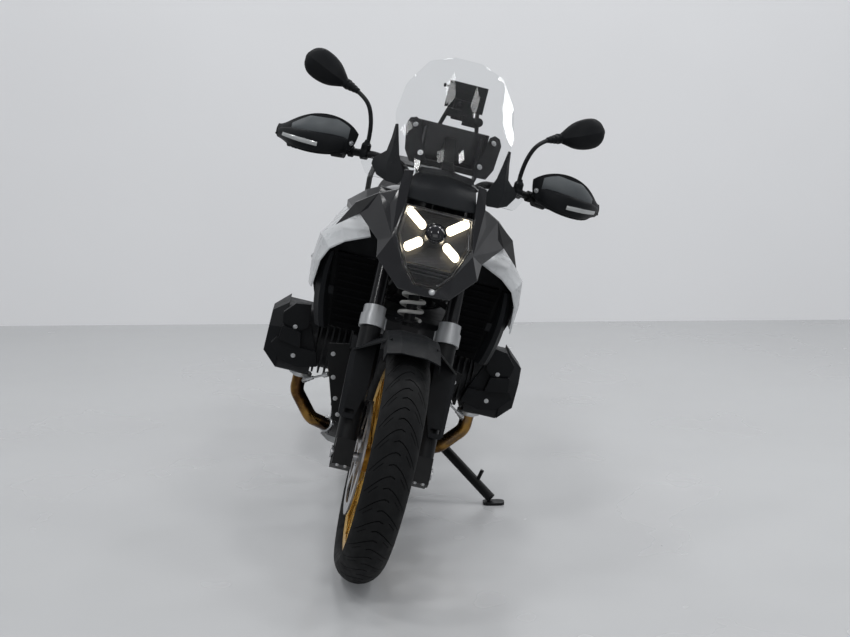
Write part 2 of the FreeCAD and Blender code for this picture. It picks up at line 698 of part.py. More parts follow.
def engine_block():
    """Crankcase and gearbox, the front cover and the lugs of the front arm."""
    case = side_slab([(400, 372), (400, 600), (450, 640), (700, 652), (ENGINE_REAR, 640), (ENGINE_REAR, 300),
                      (470, 292)], -CASE_HALF, CASE_HALF, 22)
    gearbox = side_slab([(ENGINE_REAR - 20, 320), (ENGINE_REAR - 20, 640), (900, 620), (936, 500),
                         (900, 330)],
                        -GEARBOX_HALF, GEARBOX_HALF, 8)
    cover = front_slab([(-96, 400), (-104, 540), (-60, 610), (60, 610), (104, 540), (96, 400), (60, 352),
                        (-60, 352)], 388, 402, 18)
    parts = [case, gearbox, cover]
    for side in (1, -1):
        parts.append(side_slab([(ARM_PIVOT_Y - 14, ARM_PIVOT_Z - 20), (ARM_PIVOT_Y - 14, ARM_PIVOT_Z + 20),
                                (406, ARM_PIVOT_Z + 30), (406, ARM_PIVOT_Z - 30)],
                               side * (ARM_PIVOT_X + 22 + SEAT_GAP), side * (ARM_PIVOT_X + 34), 8))
    return joined(parts)


def cylinders():
    """Finned barrels and heads, set flat out to both sides."""
    core = Part.makeCylinder(BARREL_R - 8, BARREL_OUT - CASE_HALF, V(CASE_HALF, CRANK_Y, CRANK_Z), X_AXIS)
    parts = [core]
    for k in range(5):
        x = CASE_HALF + 12 + 18 * k
        parts.append(side_slab([(CRANK_Y - 84, CRANK_Z - 78), (CRANK_Y - 84, CRANK_Z + 84),
                                (CRANK_Y + 84, CRANK_Z + 84), (CRANK_Y + 84, CRANK_Z - 78)], x, x + 5, 30))
    parts.append(side_slab([(CRANK_Y - 92, CRANK_Z - 84), (CRANK_Y - 98, CRANK_Z + 40),
                            (CRANK_Y - 60, CRANK_Z + 104),
                            (CRANK_Y + 78, CRANK_Z + 104), (CRANK_Y + 98, CRANK_Z + 40), (CRANK_Y + 88,
                                                                                          CRANK_Z - 84)],
                           BARREL_OUT, HEAD_OUT, 16))
    return both_sides(joined(parts))


def head_covers():
    """Faceted covers over the heads, with a three-part guard in front."""
    rim = [V(HEAD_OUT, CRANK_Y - 102, CRANK_Z - 78), V(HEAD_OUT, CRANK_Y - 108, CRANK_Z + 44),
           V(HEAD_OUT, CRANK_Y - 66, CRANK_Z + 112), V(HEAD_OUT, CRANK_Y + 84, CRANK_Z + 112),
           V(HEAD_OUT, CRANK_Y + 104, CRANK_Z + 44), V(HEAD_OUT, CRANK_Y + 94, CRANK_Z - 78)]
    centre = V(COVER_OUT, CRANK_Y, CRANK_Z + 12)
    tip = [centre + V(0, (p.y - CRANK_Y) * 0.66, (p.z - CRANK_Z - 12) * 0.62) for p in rim]
    cover = Part.makeLoft([Part.makePolygon(rim + rim[:1]), Part.makePolygon(tip + tip[:1])], True, True)
    back = CRANK_Y - 98 - SEAT_GAP
    upper = front_slab([(266, 551), (272, 617), (316, 611), (346, 577), (341, 544), (287, 533)], back - 26,
                       back, 4)
    raised = front_slab([(284, 532), (340, 542), (344, 498), (276, 487)], back - 38, back, 4)
    lower = front_slab([(216, 442), (228, 484), (276, 486), (350, 500), (362, 480), (326, 438), (272, 428)],
                       back - 28, back, 4)
    web = front_slab([(224, 470), (262, 560), (300, 560), (300, 470)], back - 14, back)
    return both_sides(joined([cover, upper, raised, lower, web]))


def radiator_edge(z):
    """Outer side of the radiator at a height."""
    return 212 + (z - 588) * 24 / 212


def radiators():
    """Slim radiator each side with a louvred face."""
    core = front_slab([(98, 588), (100, 668), (112, 740), (128, 800), (radiator_edge(800), 800),
                       (radiator_edge(588), 588)], 352, RADIATOR_BACK)
    slats = [core]
    for k in range(10):
        z = 600 + 20.0 * k
        inner = 104 + max(0.0, (z - 660) * 0.2)
        slats.append(block(inner, radiator_edge(z) - 4, 342, 354, z, z + 5))
    return both_sides(joined(slats))


def radiator_shrouds():
    """Channel round the outer edge of each radiator, with a lug on the radiator's side."""
    levels = [(800, [(244, 360), (247, 326), (256, 321), (264, 336), (262, 440)]),
              (686, [(236, 358), (248, 324), (262, 320), (276, 350), (276, 456)]),
              (584, [(214, 356), (226, 322), (240, 319), (254, 346), (256, 436)])]
    channel = Part.makeLoft([level_wire(strip(line, PANEL_T), z) for z, line in levels], True, False)
    lug = front_slab([(radiator_edge(676) + SEAT_GAP, 676), (radiator_edge(700) + SEAT_GAP, 700), (244, 700),
                      (244, 676)], 353, 361)
    return both_sides(joined([channel, lug]))


def side_panels():
    """White panel that wraps the front corner and runs back over the tank."""
    stations = [(300, [(160, 872), (228, 842), (266, 812), (284, 772), (290, 694)]),
                (345, [(174, 897), (245, 880), (290, 835), (300, 765), (296, 694)]),
                (450, [(196, 926), (255, 886), (295, 830), (302, 760), (296, 696)]),
                (590, [(196, 935), (244, 895), (272, 845), (276, 790), (272, 740)]),
                (720, [(190, 930), (212, 900), (224, 870), (228, 845), (230, 820)])]
    wires = []
    for y, line in stations:
        outline = [V(x, y, z) for x, z in strip(line, -PANEL_T)]
        wires.append(Part.makePolygon(outline + outline[:1]))
    peg = rod(V(TANK_BOSS + SEAT_GAP, 640, 856), V(262, 640, 856), 8)
    return both_sides(joined([Part.makeLoft(wires, True, False), peg]))


def fuel_tank():
    """Tank with the raised shoulders that carry on from the nose, over the frame's spine beams."""
    sections = [(492, [(0, 925), (60, 915), (100, 860), (104, 760), (80, 684), (0, 670)]),
                (560, [(0, 985), (110, 965), (166, 900), (170, 806), (120, 690), (0, 668)]),
                (660, [(0, 1004), (120, 985), (188, 905), (188, 806), (128, 690), (0, 668)]),
                (780, [(0, 975), (110, 955), (168, 890), (168, 806), (108, 690), (0, 670)]),
                (TANK_END, [(0, 930), (84, 914), (122, 860), (118, 800), (72, 735), (0, 700)])]
    parts = [half_body(sections)]
    ridge = [(392, [(160, 968), (192, 955), (226, 928), (222, 914), (190, 932), (160, 946)]),
             (450, [(158, 1000), (196, 980), (243, 938), (241, 918), (196, 946), (158, 962)]),
             (540, [(120, 988), (190, 970), (232, 936), (230, 920), (196, 948), (120, 950)]),
             (620, [(110, 978), (156, 966), (184, 950), (180, 944), (160, 948), (110, 950)])]
    for side in (1, -1):
        wires = []
        for y, outline in ridge:
            points = [V(side * x, y, z) for x, z in outline]
            wires.append(Part.makePolygon(points + points[:1]))
        parts.append(Part.makeLoft(wires, True, True))
        parts.append(rod(V(side * 150, 640, 856), V(side * TANK_BOSS, 640, 856), 14))
    return joined(parts).cut([spine_beam(side, SPINE_R + SEAT_GAP) for side in (1, -1)])


def spine_beam(side, radius):
    neck = FORK_FRAME.multVec(V(0, 0, YOKE_UP - HEAD_H / 2))
    return bent_rod([neck + V(side * 8, 8, 0), V(side * 60, 470, 700), V(side * 108, 860, 690),
                     V(side * 130, PIVOT_Y - 6, PIVOT_Z + 66)], radius, 60)


def over_rails(body):
    """A seat cut off just above the frame rails that carry it."""
    for front, back in ((RAIL[0], RAIL[1]), (RAIL[1], RAIL[2]), (RAIL[2], RAIL[3])):
        slope = (back.z - front.z) / (back.y - front.y)
        lift = RAIL_R * math.sqrt(1 + slope ** 2) + SEAT_GAP
        low = [(front.y, front.z + lift), (back.y, back.z + lift), (back.y, 600), (front.y, 600)]
        body = body.cut(side_slab(low, -300, 300))
    return body


def rider_seat():
    sections = [(TANK_END + 3, [(0, 934), (60, 924), (92, 900), (88, 760), (0, 750)]),
                (900, [(0, 890), (84, 886), (122, 866), (116, 770), (0, 760)]),
                (980, [(0, 868), (108, 866), (150, 848), (142, 776), (0, 770)]),
                (1080, [(0, 866), (118, 868), (162, 848), (152, 786), (0, 780)]),
                (1170, [(0, 892), (110, 886), (144, 862), (136, 796), (0, 790)])]
    return over_rails(half_body(sections))


def pillion_seat():
    sections = [(1182, [(0, 934), (100, 928), (130, 900), (122, 800), (0, 790)]),
                (1300, [(0, 946), (110, 940), (138, 912), (124, 820), (0, 810)]),
                (1420, [(0, 954), (90, 948), (116, 924), (104, 846), (0, 836)]),
                (1478, [(0, 952), (60, 948), (84, 930), (76, 860), (0, 850)])]
    return over_rails(half_body(sections))


def lamp_slope(z):
    """How far back the sloping lamp face is at a height."""
    return 134.0 + 0.72 * (z - 972.0)


LAMP_DEPTH = 52.0
LAMP = [(94, 1000), (103, 925), (66, 848), (30, 811), (-30, 811), (-66, 848), (-103, 925), (-94, 1000)]
LAMP_OUT = V(0, -0.81, 0.58)
DISH_DEPTH = 36.0


def about_lamp(outline, scale):
    """An outline on the lamp's face, scaled about its middle."""
    return [(x * scale, 905 + (z - 905) * scale) for x, z in outline]


def sloped(outline, back):
    """Closed outline on the lamp's slope, set back by a distance."""
    points = [V(x, lamp_slope(z) + back, z) for x, z in outline]
    return Part.makePolygon(points + points[:1])


def headlamp():
    """Lamp housing with a dished face, a round projector and steps across its foot."""
    bowl = Part.makeLoft([sloped(LAMP, 0), sloped(about_lamp(LAMP, 0.95), LAMP_DEPTH)], True, True)
    dish = Part.makeLoft([sloped(about_lamp(LAMP, 0.95), -1), sloped(about_lamp(LAMP, 0.89), DISH_DEPTH)],
                         True, True)
    projector = rod(V(0, lamp_slope(925) + 40, 925), V(0, lamp_slope(925) + 40, 925) + LAMP_OUT * 34, 29)
    steps = []
    for z, half in ((836, 48), (845, 57), (854, 64)):
        steps.append(block(-half, half, lamp_slope(z) + 12, lamp_slope(z) + DISH_DEPTH + 8, z, z + 4))
    return joined([bowl.cut(dish), projector] + steps)


def lamp_lens():
    """Clear lens with bevelled edges, on the rim of the lamp."""
    outer = Part.makeLoft([sloped(about_lamp(LAMP, 0.99), 0), sloped(about_lamp(LAMP, 0.93), -7)], True, True)
    inner = Part.makeLoft([sloped(about_lamp(LAMP, 0.955), 1), sloped(about_lamp(LAMP, 0.9), -5)], True, True)
    return outer.cut(inner)


def light_bars():
    """Four bright bars in an X, each standing on the floor of the lamp's dish."""
    housing = headlamp()
    bars = []
    for side in (1, -1):
        for z0, z1, x0, x1, w in ((944, 980, 34, 76, 8), (900, 867, 33, 60, 8)):
            outline = [(side * x0, z0 - w), (side * x1, z1 - w), (side * x1, z1 + w), (side * x0, z0 + w)]
            bar = Part.makeLoft([sloped(outline, 6), sloped(outline, DISH_DEPTH + 2)], True, True)
            bars.append(bar.cut(housing))
    return Part.makeCompound(bars)


def beak():
    """Folded black nose round the lamp: chin, cheeks, ducts, wings and the arms beside the cover."""
    tab = side_slab([(9, 793), (13, 800), (80, 806), (124, 874), (138, 874), (88, 797), (16, 792)], -14, 14)
    sheets = [tab]
    for side in (1, -1):
        lamp_top, lamp_side, lamp_low, lamp_foot = (
            V(side * x, lamp_slope(z), z) for x, z in about_lamp(LAMP, 1.01)[:4])
        arm_in, arm_out = V(side * 91, 214, 1086), V(side * 116, 228, 1080)
        brow, crest = V(side * 121, 186, 1030), V(side * 168, 236, 1002)
        fold, duct = V(side * 112, 108, 908), V(side * 134, 182, 985)
        wing, wing_low, wing_end = V(side * 224, 258, 958), V(side * 206, 262, 930), V(side * 262, 322, 876)
        cheek, jaw, chin, nose = V(side * 145, 150, 886), V(side * 139, 104, 847), V(side * 70, 12,
                                                                                     793), V(0, 2, 789)
        folds = [(lamp_top, brow, arm_in), (brow, arm_out, arm_in), (lamp_top, lamp_side, fold),
                 (lamp_top, fold, brow), (brow, fold, duct), (brow, duct, crest), (crest, duct, fold),
                 (crest, fold, wing_low), (crest, wing_low, wing), (wing, wing_low, wing_end),
                 (wing_low, fold, cheek), (cheek, fold, jaw), (fold, lamp_side, lamp_low), (fold, lamp_low,
                                                                                            jaw),
                 (jaw, lamp_low, chin), (lamp_low, lamp_foot, chin), (lamp_foot, nose, chin)]
        for corners in folds:
            face = Part.Face(Part.makePolygon(list(corners) + [corners[0]]))
            sheets.append(face.extrude(V(0, PANEL_T + 1, 0)))
    foot_x, foot_z = about_lamp(LAMP, 1.01)[3]
    foot = [V(foot_x, lamp_slope(foot_z), foot_z), V(-foot_x, lamp_slope(foot_z), foot_z), V(0, 2, 789)]
    sheets.append(Part.Face(Part.makePolygon(foot + foot[:1])).extrude(V(0, PANEL_T + 1, 0)))
    return joined(sheets)


COVER_ROWS = [[(-100, 182, 1016), (-50, 170, 1014), (0, 166, 1014), (50, 170, 1014), (100, 182, 1016)],
              [(-93, 206, 1044), (-46, 192, 1044), (0, 188, 1044), (46, 192, 1044), (93, 206, 1044)],
              [(-86, 251, 1074), (-43, 230, 1074), (0, 222, 1074), (43, 230, 1074), (86, 251, 1074)],
              [(-71, 266, 1096), (-36, 252, 1100), (0, 246, 1102), (36, 252, 1100), (71, 266, 1096)]]


def lamp_cover():
    """Panel between the lamp and the foot of the screen."""
    return skin(COVER_ROWS, V(0, 4, -3))


SCREEN_LINE = [(1020, 206, 24), (1100, 232, 24), (1180, 276, 26), (1260, 336, 33), (1340, 411, 34),
               (1420, 512, 34)]
SCREEN_OUTLINE = [(0, 1090), (80, 1080), (146, 1040), (214, 1032), (242, 1072), (162, 1096), (150, 1148),
                  (172, 1214),
                  (158, 1300), (108, 1376), (40, 1402)]


def screen_rows(back):
    """Points of a bowed surface that follows the screen, set back from its front face."""
    rows = []
    for z, middle, bow in SCREEN_LINE:
        rows.append([(x, middle + back + bow * (x / 100) ** 2, z) for x in (-260, -130, 0, 130, 260)])
    return rows


def screen_skin(back, thickness):
    return skin(screen_rows(back), V(0, thickness, 0))


def windscreen():
    """Tall clear screen, bowed across and leaning back, with a lobe at each lower corner."""
    outline = SCREEN_OUTLINE + [(-x, z) for x, z in reversed(SCREEN_OUTLINE) if x > 0]
    radii = [30, 30, 30, 20, 12, 14, 60, 60, 60, 30, 30]
    window = front_slab(outline, 100, 700, radii + list(reversed(radii[1:])))
    return screen_skin(0, SCREEN_T).common(window)


def screen_brackets():
    """Plate on each side behind the screen, shaped to its curve."""
    plate = side_slab([(230, 1110), (270, 1212), (400, 1196), (398, 1144), (362, 1138), (336, 1098),
                       (316, 1072)], BRACKET_X, BRACKET_X + 6, 10)
    plate = plate.cut(screen_skin(SCREEN_T + SEAT_GAP - 120, 120))
    return both_sides(plate)


def wind_deflectors():
    """Winglets standing off the lower corners of the screen on short studs."""
    outline = [(88, 1078), (116, 1038), (180, 1046), (206, 1072), (176, 1110), (160, 1184)]
    wing = screen_skin(-20, 3).common(front_slab(outline, 150, 420, 8))
    stud = rod(V(150, 200, 1084), V(150, 400, 1084), 6).cut(screen_skin(-SEAT_GAP,
                                                                        300)).cut(screen_skin(-140, 122))
    return both_sides(joined([wing, stud]))


def display():
    """Dashboard display with a ribbed back, on the mast behind the screen."""
    body = block(-104, 104, DISPLAY_Y, DISPLAY_Y + 20, 1100, 1212)
    ribs = [body]
    for k in range(4):
        ribs.append(block(-80, 80, DISPLAY_Y - 4, DISPLAY_Y + 1, 1118 + 22 * k, 1122 + 22 * k))
    return joined(ribs)


def nav_cradle():
    """Device holder on two bent tubes that rise from the display's back."""
    y = DISPLAY_Y + 20
    parts = [block(-38, 72, y + 14, y + 30, 1262, 1338)]
    for x in (-42, 70):
        parts.append(bent_rod([V(x, y + 6 + PIN_GAP, 1130), V(x, y + 6 + PIN_GAP, 1200),
                               V(x * 0.7 + 8, y + 22, 1268)], 6, 30))
    return joined(parts)


def fairing_carrier():
    """Central arm from the steering head out to the lamp, then back up to screen and display."""
    back = DISPLAY_Y - 4 - SEAT_GAP
    lamp = LAMP_DEPTH + SEAT_GAP
    spine = side_slab([(300, 862), (lamp_slope(872) + lamp, 872), (lamp_slope(1019) + lamp + 9, 1019),
                       (160, 1070),
                       (220, 1100), (330, 1122), (back, 1180), (back, 1130), (350, 1090), (262, 1044), (252,
                                                                                                        1000),
                       (300, 934)], -CARRIER_HALF, CARRIER_HALF)
    cross = block(SEAT_GAP - BRACKET_X, BRACKET_X - SEAT_GAP, 300, 316, 1100, 1116)
    head = in_fork(Part.makeCylinder(HEAD_R + PIN_GAP, HEAD_H + 100, V(0, 0, YOKE_UP - HEAD_H - 50)))
    ahead = [[(x, y + 4.3, z - 3.2) for x, y, z in row] for row in COVER_ROWS]
    return joined([spine, cross]).cut([head, skin(ahead, V(0, -120, 90)), beak(),
                                       screen_skin(-100, 100 + SCREEN_T + SEAT_GAP)])


def main_frame():
    """Steering head, spine beams, side plates at the swing-arm pivot and the rear frame."""
    head = in_fork(Part.makeCylinder(HEAD_R, HEAD_H, V(0, 0, YOKE_UP - SEAT_GAP - HEAD_H)))
    way = (STRUT_HIGH - STRUT_LOW).normalize()
    parts = [head, rod(STRUT_HIGH + way * SEAT_GAP, STRUT_HIGH + way * 40, 24)]
    front_face = block(-260, 260, 300, RADIATOR_BACK + SEAT_GAP, 600, 800)
    for side in (1, -1):
        parts.append(spine_beam(side, SPINE_R))
        rail = [V(side * p.x, p.y, p.z) for p in RAIL]
        parts.append(bent_rod(rail, RAIL_R, 120))
        parts.append(rod(V(side * 112, 960, 560), V(side * 90, 1250, 824), 11))
        parts.append(side_slab([(936, 352), (944, 490), (1004, 480), (1008, 352)],
                               side * (PIVOT_HALF + SEAT_GAP),
                               side * (PIVOT_HALF + 10), 12))
        parts.append(rod(V(side * 56, 460, 720), V(side * 160, 370, 690), 9).cut(front_face))
    parts.append(rod(V(-100, 1130, 798), V(100, 1130, 798), CROSS_R))
    parts.append(rod(V(-84, 1440, 864), V(84, 1440, 864), CROSS_R))
    parts.append(rod(V(-82, TAIL_TUBE_Y, 874), V(82, TAIL_TUBE_Y, 874), CROSS_R - 2))
    parts.append(rod(V(-112, 866, 710), V(112, 866, 710), 14))
    return joined(parts)


def rear_carrier():
    """Luggage plate with four screw holes, carried by grab rails and two posts."""
    plan = [(-92, 1330), (-112, 1420), (-104, 1560), (-70, 1620), (70, 1620), (104, 1560), (112, 1420),
            (92, 1330)]
    top = CARRIER_Z
    plate = plan_slab(plan, top - CARRIER_T, top, 26)
    window = plan_slab([(-34, 1456), (-34, 1496), (34, 1496), (34, 1456)], top - 20, top + 5, 12)
    cuts = [window]
    for k in range(4):
        angle = math.radians(45 + 90 * k)
        at = V(CARRIER_BOLT_CIRCLE / 2 * math.cos(angle), CARRIER_Y + CARRIER_BOLT_CIRCLE / 2 * math.sin(angle), top - 20)
        cuts.append(Part.makeCylinder(CARRIER_HOLE_R, 30, at))
    rails = []
    for side in (1, -1):
        rails.append(bent_rod([V(side * 103.2, 1200, 815), V(side * 166, 1204, 818), V(side * 172, 1290, 930),
                               V(side * 152, 1440, 984), V(side * 98, 1540, top - 7)], 9, 20))
        rails.append(rod(V(side * 80, 1491, RAIL[3].z + 13.5), V(side * 80, 1491, top - 4), 8))
    return joined([plate.cut(cuts)] + rails)


def tail_unit():
    """Tail lamp, plate arm and turn signals."""
    front = TAIL_TUBE_Y + CROSS_R - 2 + SEAT_GAP
    arm = side_slab([(front, 860), (front, 886), (1500, 926), (1600, 910), (1830, 650), (1866, 500),
                     (1850, 498),
                     (1800, 640), (1590, 850)], -34, 34, 4)
    plate = front_slab([(-95, 500), (-95, 610), (95, 610), (95, 500)], 1862, 1867, 10)
    lamp = front_slab([(-70, 866), (-70, 896), (70, 896), (70, 866)], 1596, 1626, 8)
    parts = [arm, plate, lamp]
    for side in (1, -1):
        parts.append(rod(V(side * 20, 1768, 694), V(side * 120, 1768, 700), 7))
        parts.append(rod(V(side * 110, 1744, 700), V(side * 110, 1800, 700), 17))
    return joined(parts)


def rear_hugger():
    """Mudguard close over the front of the rear tyre, standing on the swing arm."""
    inner = REAR_R + 16
    half = REAR_W / 2 + 6
    arch = [(half, inner - 34), (half * 0.86, inner + 2), (half * 0.4, inner + 12), (-half * 0.4, inner + 12),
            (-half * 0.86, inner + 2), (-half, inner - 34)]
    shell = saddle(arch, HUGGER_T, 78, 70).translated(REAR_AXLE)
    bracket = block(half + 1, half + 18, WHEELBASE - 298, WHEELBASE - 274, REAR_R + 52, REAR_R + 138)
    bracket = bracket.cut(arm_tube(ARM_TUBE_R + SEAT_GAP))
    return joined([shell, bracket])


def arm_tube(radius):
    return bent_rod([V(94, PIVOT_Y + 9, PIVOT_Z), V(128, PIVOT_Y + 95, PIVOT_Z - 4),
                     V(128, WHEELBASE - 138, REAR_R + 26), V(104, WHEELBASE - 60, REAR_R + 12)], radius, 60)


def swing_arm():
    """Single-sided arm with the shaft drive on the left and the stub axle of the rear wheel."""
    drive = turned([(70, 14), (70, 92), (96, 104), (134, 92), (146, 60), (146, 30), (84, 30), (84, 14)])
    stub_r = REAR_BORE_R - PIN_GAP
    stub = turned([(-44, 14), (-44, stub_r), (72, stub_r), (72, 14)])
    pivot = rod(V(-PIVOT_HALF, PIVOT_Y, PIVOT_Z), V(PIVOT_HALF, PIVOT_Y, PIVOT_Z), 22)
    yoke = rod(V(40, PIVOT_Y, PIVOT_Z), V(110, 1040, 390), 30)
    pin = rod(V(REAR_STRUT_LOW.x - 22, REAR_STRUT_LOW.y, REAR_STRUT_LOW.z),
              V(112, REAR_STRUT_LOW.y, REAR_STRUT_LOW.z), STRUT_PIN_R)
    return joined([arm_tube(ARM_TUBE_R), drive.fuse(stub).translated(REAR_AXLE), pivot, yoke, pin])


def rear_strut():
    """Spring strut between the swing arm's pin and the frame's cross tube."""
    low = REAR_STRUT_LOW
    high = V(low.x, 1129, 794)
    way = (high - low).normalize()
    eye = rod(low - V(15, 0, 0), low + V(15, 0, 0), 18)
    parts = [eye, rod(low + way * 10, high, 13), rod(low + way * 36, low + way * 44, REAR_SPRING_R),
             rod(low + way * 330, low + way * 342, REAR_SPRING_R)]
    spring = coil(low + way * 43, low + way * 331, REAR_SPRING_R - 6, 6.5, 7)
    pin = rod(low - V(30, 0, 0), low + V(30, 0, 0), STRUT_PIN_R + PIN_GAP)
    tube = rod(V(-60, 1130, 798), V(120, 1130, 798), CROSS_R + SEAT_GAP)
    return joined(parts + [spring]).cut([pin, tube])


def exhaust_headers():
    """One header sweeps down and back from each head to the collector."""
    parts = []
    for side in (1, -1):
        port = V(side * 257, CRANK_Y - 48, CRANK_Z - 84 - SEAT_GAP)
        parts.append(bent_rod([port, port - V(0, 0, 60), V(side * 196, 520, 268), V(side * 110, 610, 228),
                               V(side * 60, 760, 222)], HEADER_R, 44))
    parts.append(bent_rod([V(0, 740, 222), V(0, 860, 222), V(-90, 980, 240), V(-150, 1120, 330)],
                          TAIL_PIPE_R, 60))
    parts.append(block(-84, 84, 740, 880, 196, 250))
    return joined(parts)


def silencer():
    sections = []
    for y, z, x, w, h in ((1120, 345, -168, 34, 44), (1180, 372, -180, 46, 62), (1420, 468, -190, 54, 74),
                          (1640, 556, -192, 46, 62)):
        centre = V(x, y, z)
        points = []
        for k in range(8):
            angle = math.radians(45 * k)
            points.append(centre + V(w * math.cos(angle), -0.36 * h * math.sin(angle), h * math.sin(angle)))
        sections.append(curve(points))
    entry = rod(V(-126, 1064, 294), V(-156, 1134, 339), TAIL_PIPE_R + PIN_GAP)
    return Part.makeLoft(sections, True, False).cut(entry)


def footpegs():
    """Peg hangers bolted to the frame plates, with a serrated peg each side."""
    hangers = []
    for side in (1, -1):
        inner = PIVOT_HALF + 10 + SEAT_GAP
        plate = side_slab([(826, 430), (796, 384), (816, 352), (880, 366), (1004, 392), (1004, 470),
                           (950, 478)],
                          side * inner, side * (inner + 8), 10)
        pin = rod(V(side * (inner + 4), 826, 388), V(side * 192, 826, 388), 11)
        peg = block(min(side * 188, side * 276), max(side * 188, side * 276), 806, 846, 378, 392)
        hangers.append(joined([plate, pin, peg]))
    return Part.makeCompound(hangers)


def skid_plate():
    """Dished plate under the engine on four short posts."""
    rows = [[(-120, 412, 330), (0, 404, 330), (120, 412, 330)],
            [(-128, 470, 262), (0, 470, 256), (128, 470, 262)],
            [(-130, 640, 200), (0, 640, 192), (130, 640, 200)],
            [(-120, 730, 196), (0, 730, 190), (120, 730, 196)]]
    parts = [skin(rows, V(0, 2, 5))]
    for x, y, low in ((54, 520, 238), (28, 690, 196)):
        for side in (1, -1):
            parts.append(rod(V(side * x, y, low), V(side * x, y, 291.5 + (y - 470) * 8 / 330), 9))
    return joined(parts)


def stand_axis():
    """Direction of the stand's pivot bolt in the upright bike."""
    return V(0.6, 0, 0.8)


def stand_bracket():
    """Plate on the crankcase with the lug and bolt that carry the side stand."""
    axis = stand_axis()
    inner = CASE_HALF + SEAT_GAP
    plate = side_slab([(720, 310), (720, 372), (796, 372), (796, 310), (786, 252), (754, 252)], inner,
                      inner + 10, 8)
    top = STAND_PIVOT - axis * (STAND_BOSS + SEAT_GAP)
    lug = rod(top - axis * 18, top, 17)
    bridge = block(inner, top.x - 8, 752, 788, 252, 268)
    pin = rod(top - axis * 10, STAND_PIVOT + axis * (STAND_BOSS + 5), STAND_PIN_R)
    return joined([plate, bridge, lug, pin])


def side_stand():
    """Cranked leg, its foot flat on the floor, and the prong for the boot."""
    pad = plan_slab([(-FOOT_LONG / 2, -FOOT_WIDE / 2), (-FOOT_LONG / 2, FOOT_WIDE / 2),
                     (FOOT_LONG / 2, FOOT_WIDE / 2), (FOOT_LONG / 2, -FOOT_WIDE / 2)], 0, FOOT_T, 16)
    pad = pad.translated(V(FOOT_X - CENTRE_X, FOOT_Y - CENTRE_Y, 0))
    pad = pad.transformed(TO_BIKE.toMatrix(), True)
    foot = TO_BIKE.multVec(V(FOOT_X - 8 - CENTRE_X, FOOT_Y - CENTRE_Y, STAND_LEG_R + 3))
    boss = rod(STAND_PIVOT - stand_axis() * STAND_BOSS, STAND_PIVOT + stand_axis() * STAND_BOSS, 22)
    leg = bent_rod([STAND_PIVOT + stand_axis() * 10, STAND_KNEE, foot], STAND_LEG_R, 30)
    reach = foot - STAND_KNEE
    prong = rod(STAND_KNEE + reach * 0.72, STAND_KNEE + reach * 0.72 + V(8, -6, 44), 6)
    bore = rod(STAND_PIVOT - stand_axis() * 30, STAND_PIVOT + stand_axis() * 30, STAND_PIN_R + PIN_GAP)
    return joined([boss, leg, prong, pad]).cut(bore)


NODES = {
    "main_frame": (main_frame, "chassis"),
    "engine_block": (engine_block, "chassis"),
    "cylinders": (cylinders, "chassis"),
    "head_covers": (head_covers, "chassis"),
    "radiators": (radiators, "chassis"),
    "radiator_shrouds": (radiator_shrouds, "chassis"),
    "side_panels": (side_panels, "chassis"),
    "fuel_tank": (fuel_tank, "chassis"),
    "rider_seat": (rider_seat, "chassis"),
    "pillion_seat": (pillion_seat, "chassis"),
    "headlamp": (headlamp, "chassis"),
    "lamp_lens": (lamp_lens, "chassis"),
    "light_bars": (light_bars, "chassis"),
    "beak": (beak, "chassis"),
    "lamp_cover": (lamp_cover, "chassis"),
    "windscreen": (windscreen, "chassis"),
    "screen_brackets": (screen_brackets, "chassis"),
    "wind_deflectors": (wind_deflectors, "chassis"),
    "display": (display, "chassis"),
    "nav_cradle": (nav_cradle, "chassis"),
    "fairing_carrier": (fairing_carrier, "chassis"),
    "rear_carrier": (rear_carrier, "chassis"),
    "tail_unit": (tail_unit, "chassis"),
    "rear_hugger": (rear_hugger, "chassis"),
    "swing_arm": (swing_arm, "chassis"),
    "rear_strut": (rear_strut, "chassis"),
    "exhaust_headers": (exhaust_headers, "chassis"),
    "silencer": (silencer, "chassis"),
    "footpegs": (footpegs, "chassis"),
    "skid_plate": (skid_plate, "chassis"),
    "stand_bracket": (stand_bracket, "chassis"),
    "a_arm": (a_arm, "chassis"),
    "front_strut": (front_strut, "chassis"),
    "front_spring": (front_spring, "chassis"),
    "fork_sliders": (fork_sliders, "steering"),
    "fork_bridge": (fork_bridge, "steering"),
    "fork_tubes": (fork_tubes, "steering"),
    "handlebar": (handlebar, "steering"),
    "grips": (grips, "steering"),
    "bar_controls": (bar_controls, "steering"),
    "hand_guards": (hand_guards, "steering"),
    "mirrors": (mirrors, "steering"),
    "front_fender": (front_fender, "steering"),
    "brake_calipers": (brake_calipers, "steering"),
    "front_axle": (front_axle, "steering"),
    "front_tyre": (lambda: tyre(FRONT_AXLE, FRONT_R, FRONT_W, FRONT_CROWN, FRONT_SEAT, FRONT_RIM_W),
                   "front_wheel"),
    "front_rim": (front_rim, "front_wheel"),
    "front_discs": (front_discs, "front_wheel"),
    "rear_tyre": (lambda: tyre(REAR_AXLE, REAR_R, REAR_W, REAR_CROWN, REAR_SEAT, REAR_RIM_W), "rear_wheel"),
    "rear_rim": (rear_rim, "rear_wheel"),
    "rear_disc": (rear_disc, "rear_wheel"),
    "side_stand": (side_stand, "side_stand"),
}


def placement_of(body):
    if body in ("steering", "front_wheel"):
        return PARKED * steer_turn()
    return PARKED


def main():
    os.makedirs("parts", exist_ok=True)
    for name, (make, body) in NODES.items():
        shape = make().transformed(placement_of(body).toMatrix(), True)
        shape.exportStep("parts/" + name + ".step")


if __name__ == "__main__":
    main()
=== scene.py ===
import json
import math

import bmesh
import bpy
from mathutils import Matrix, Vector


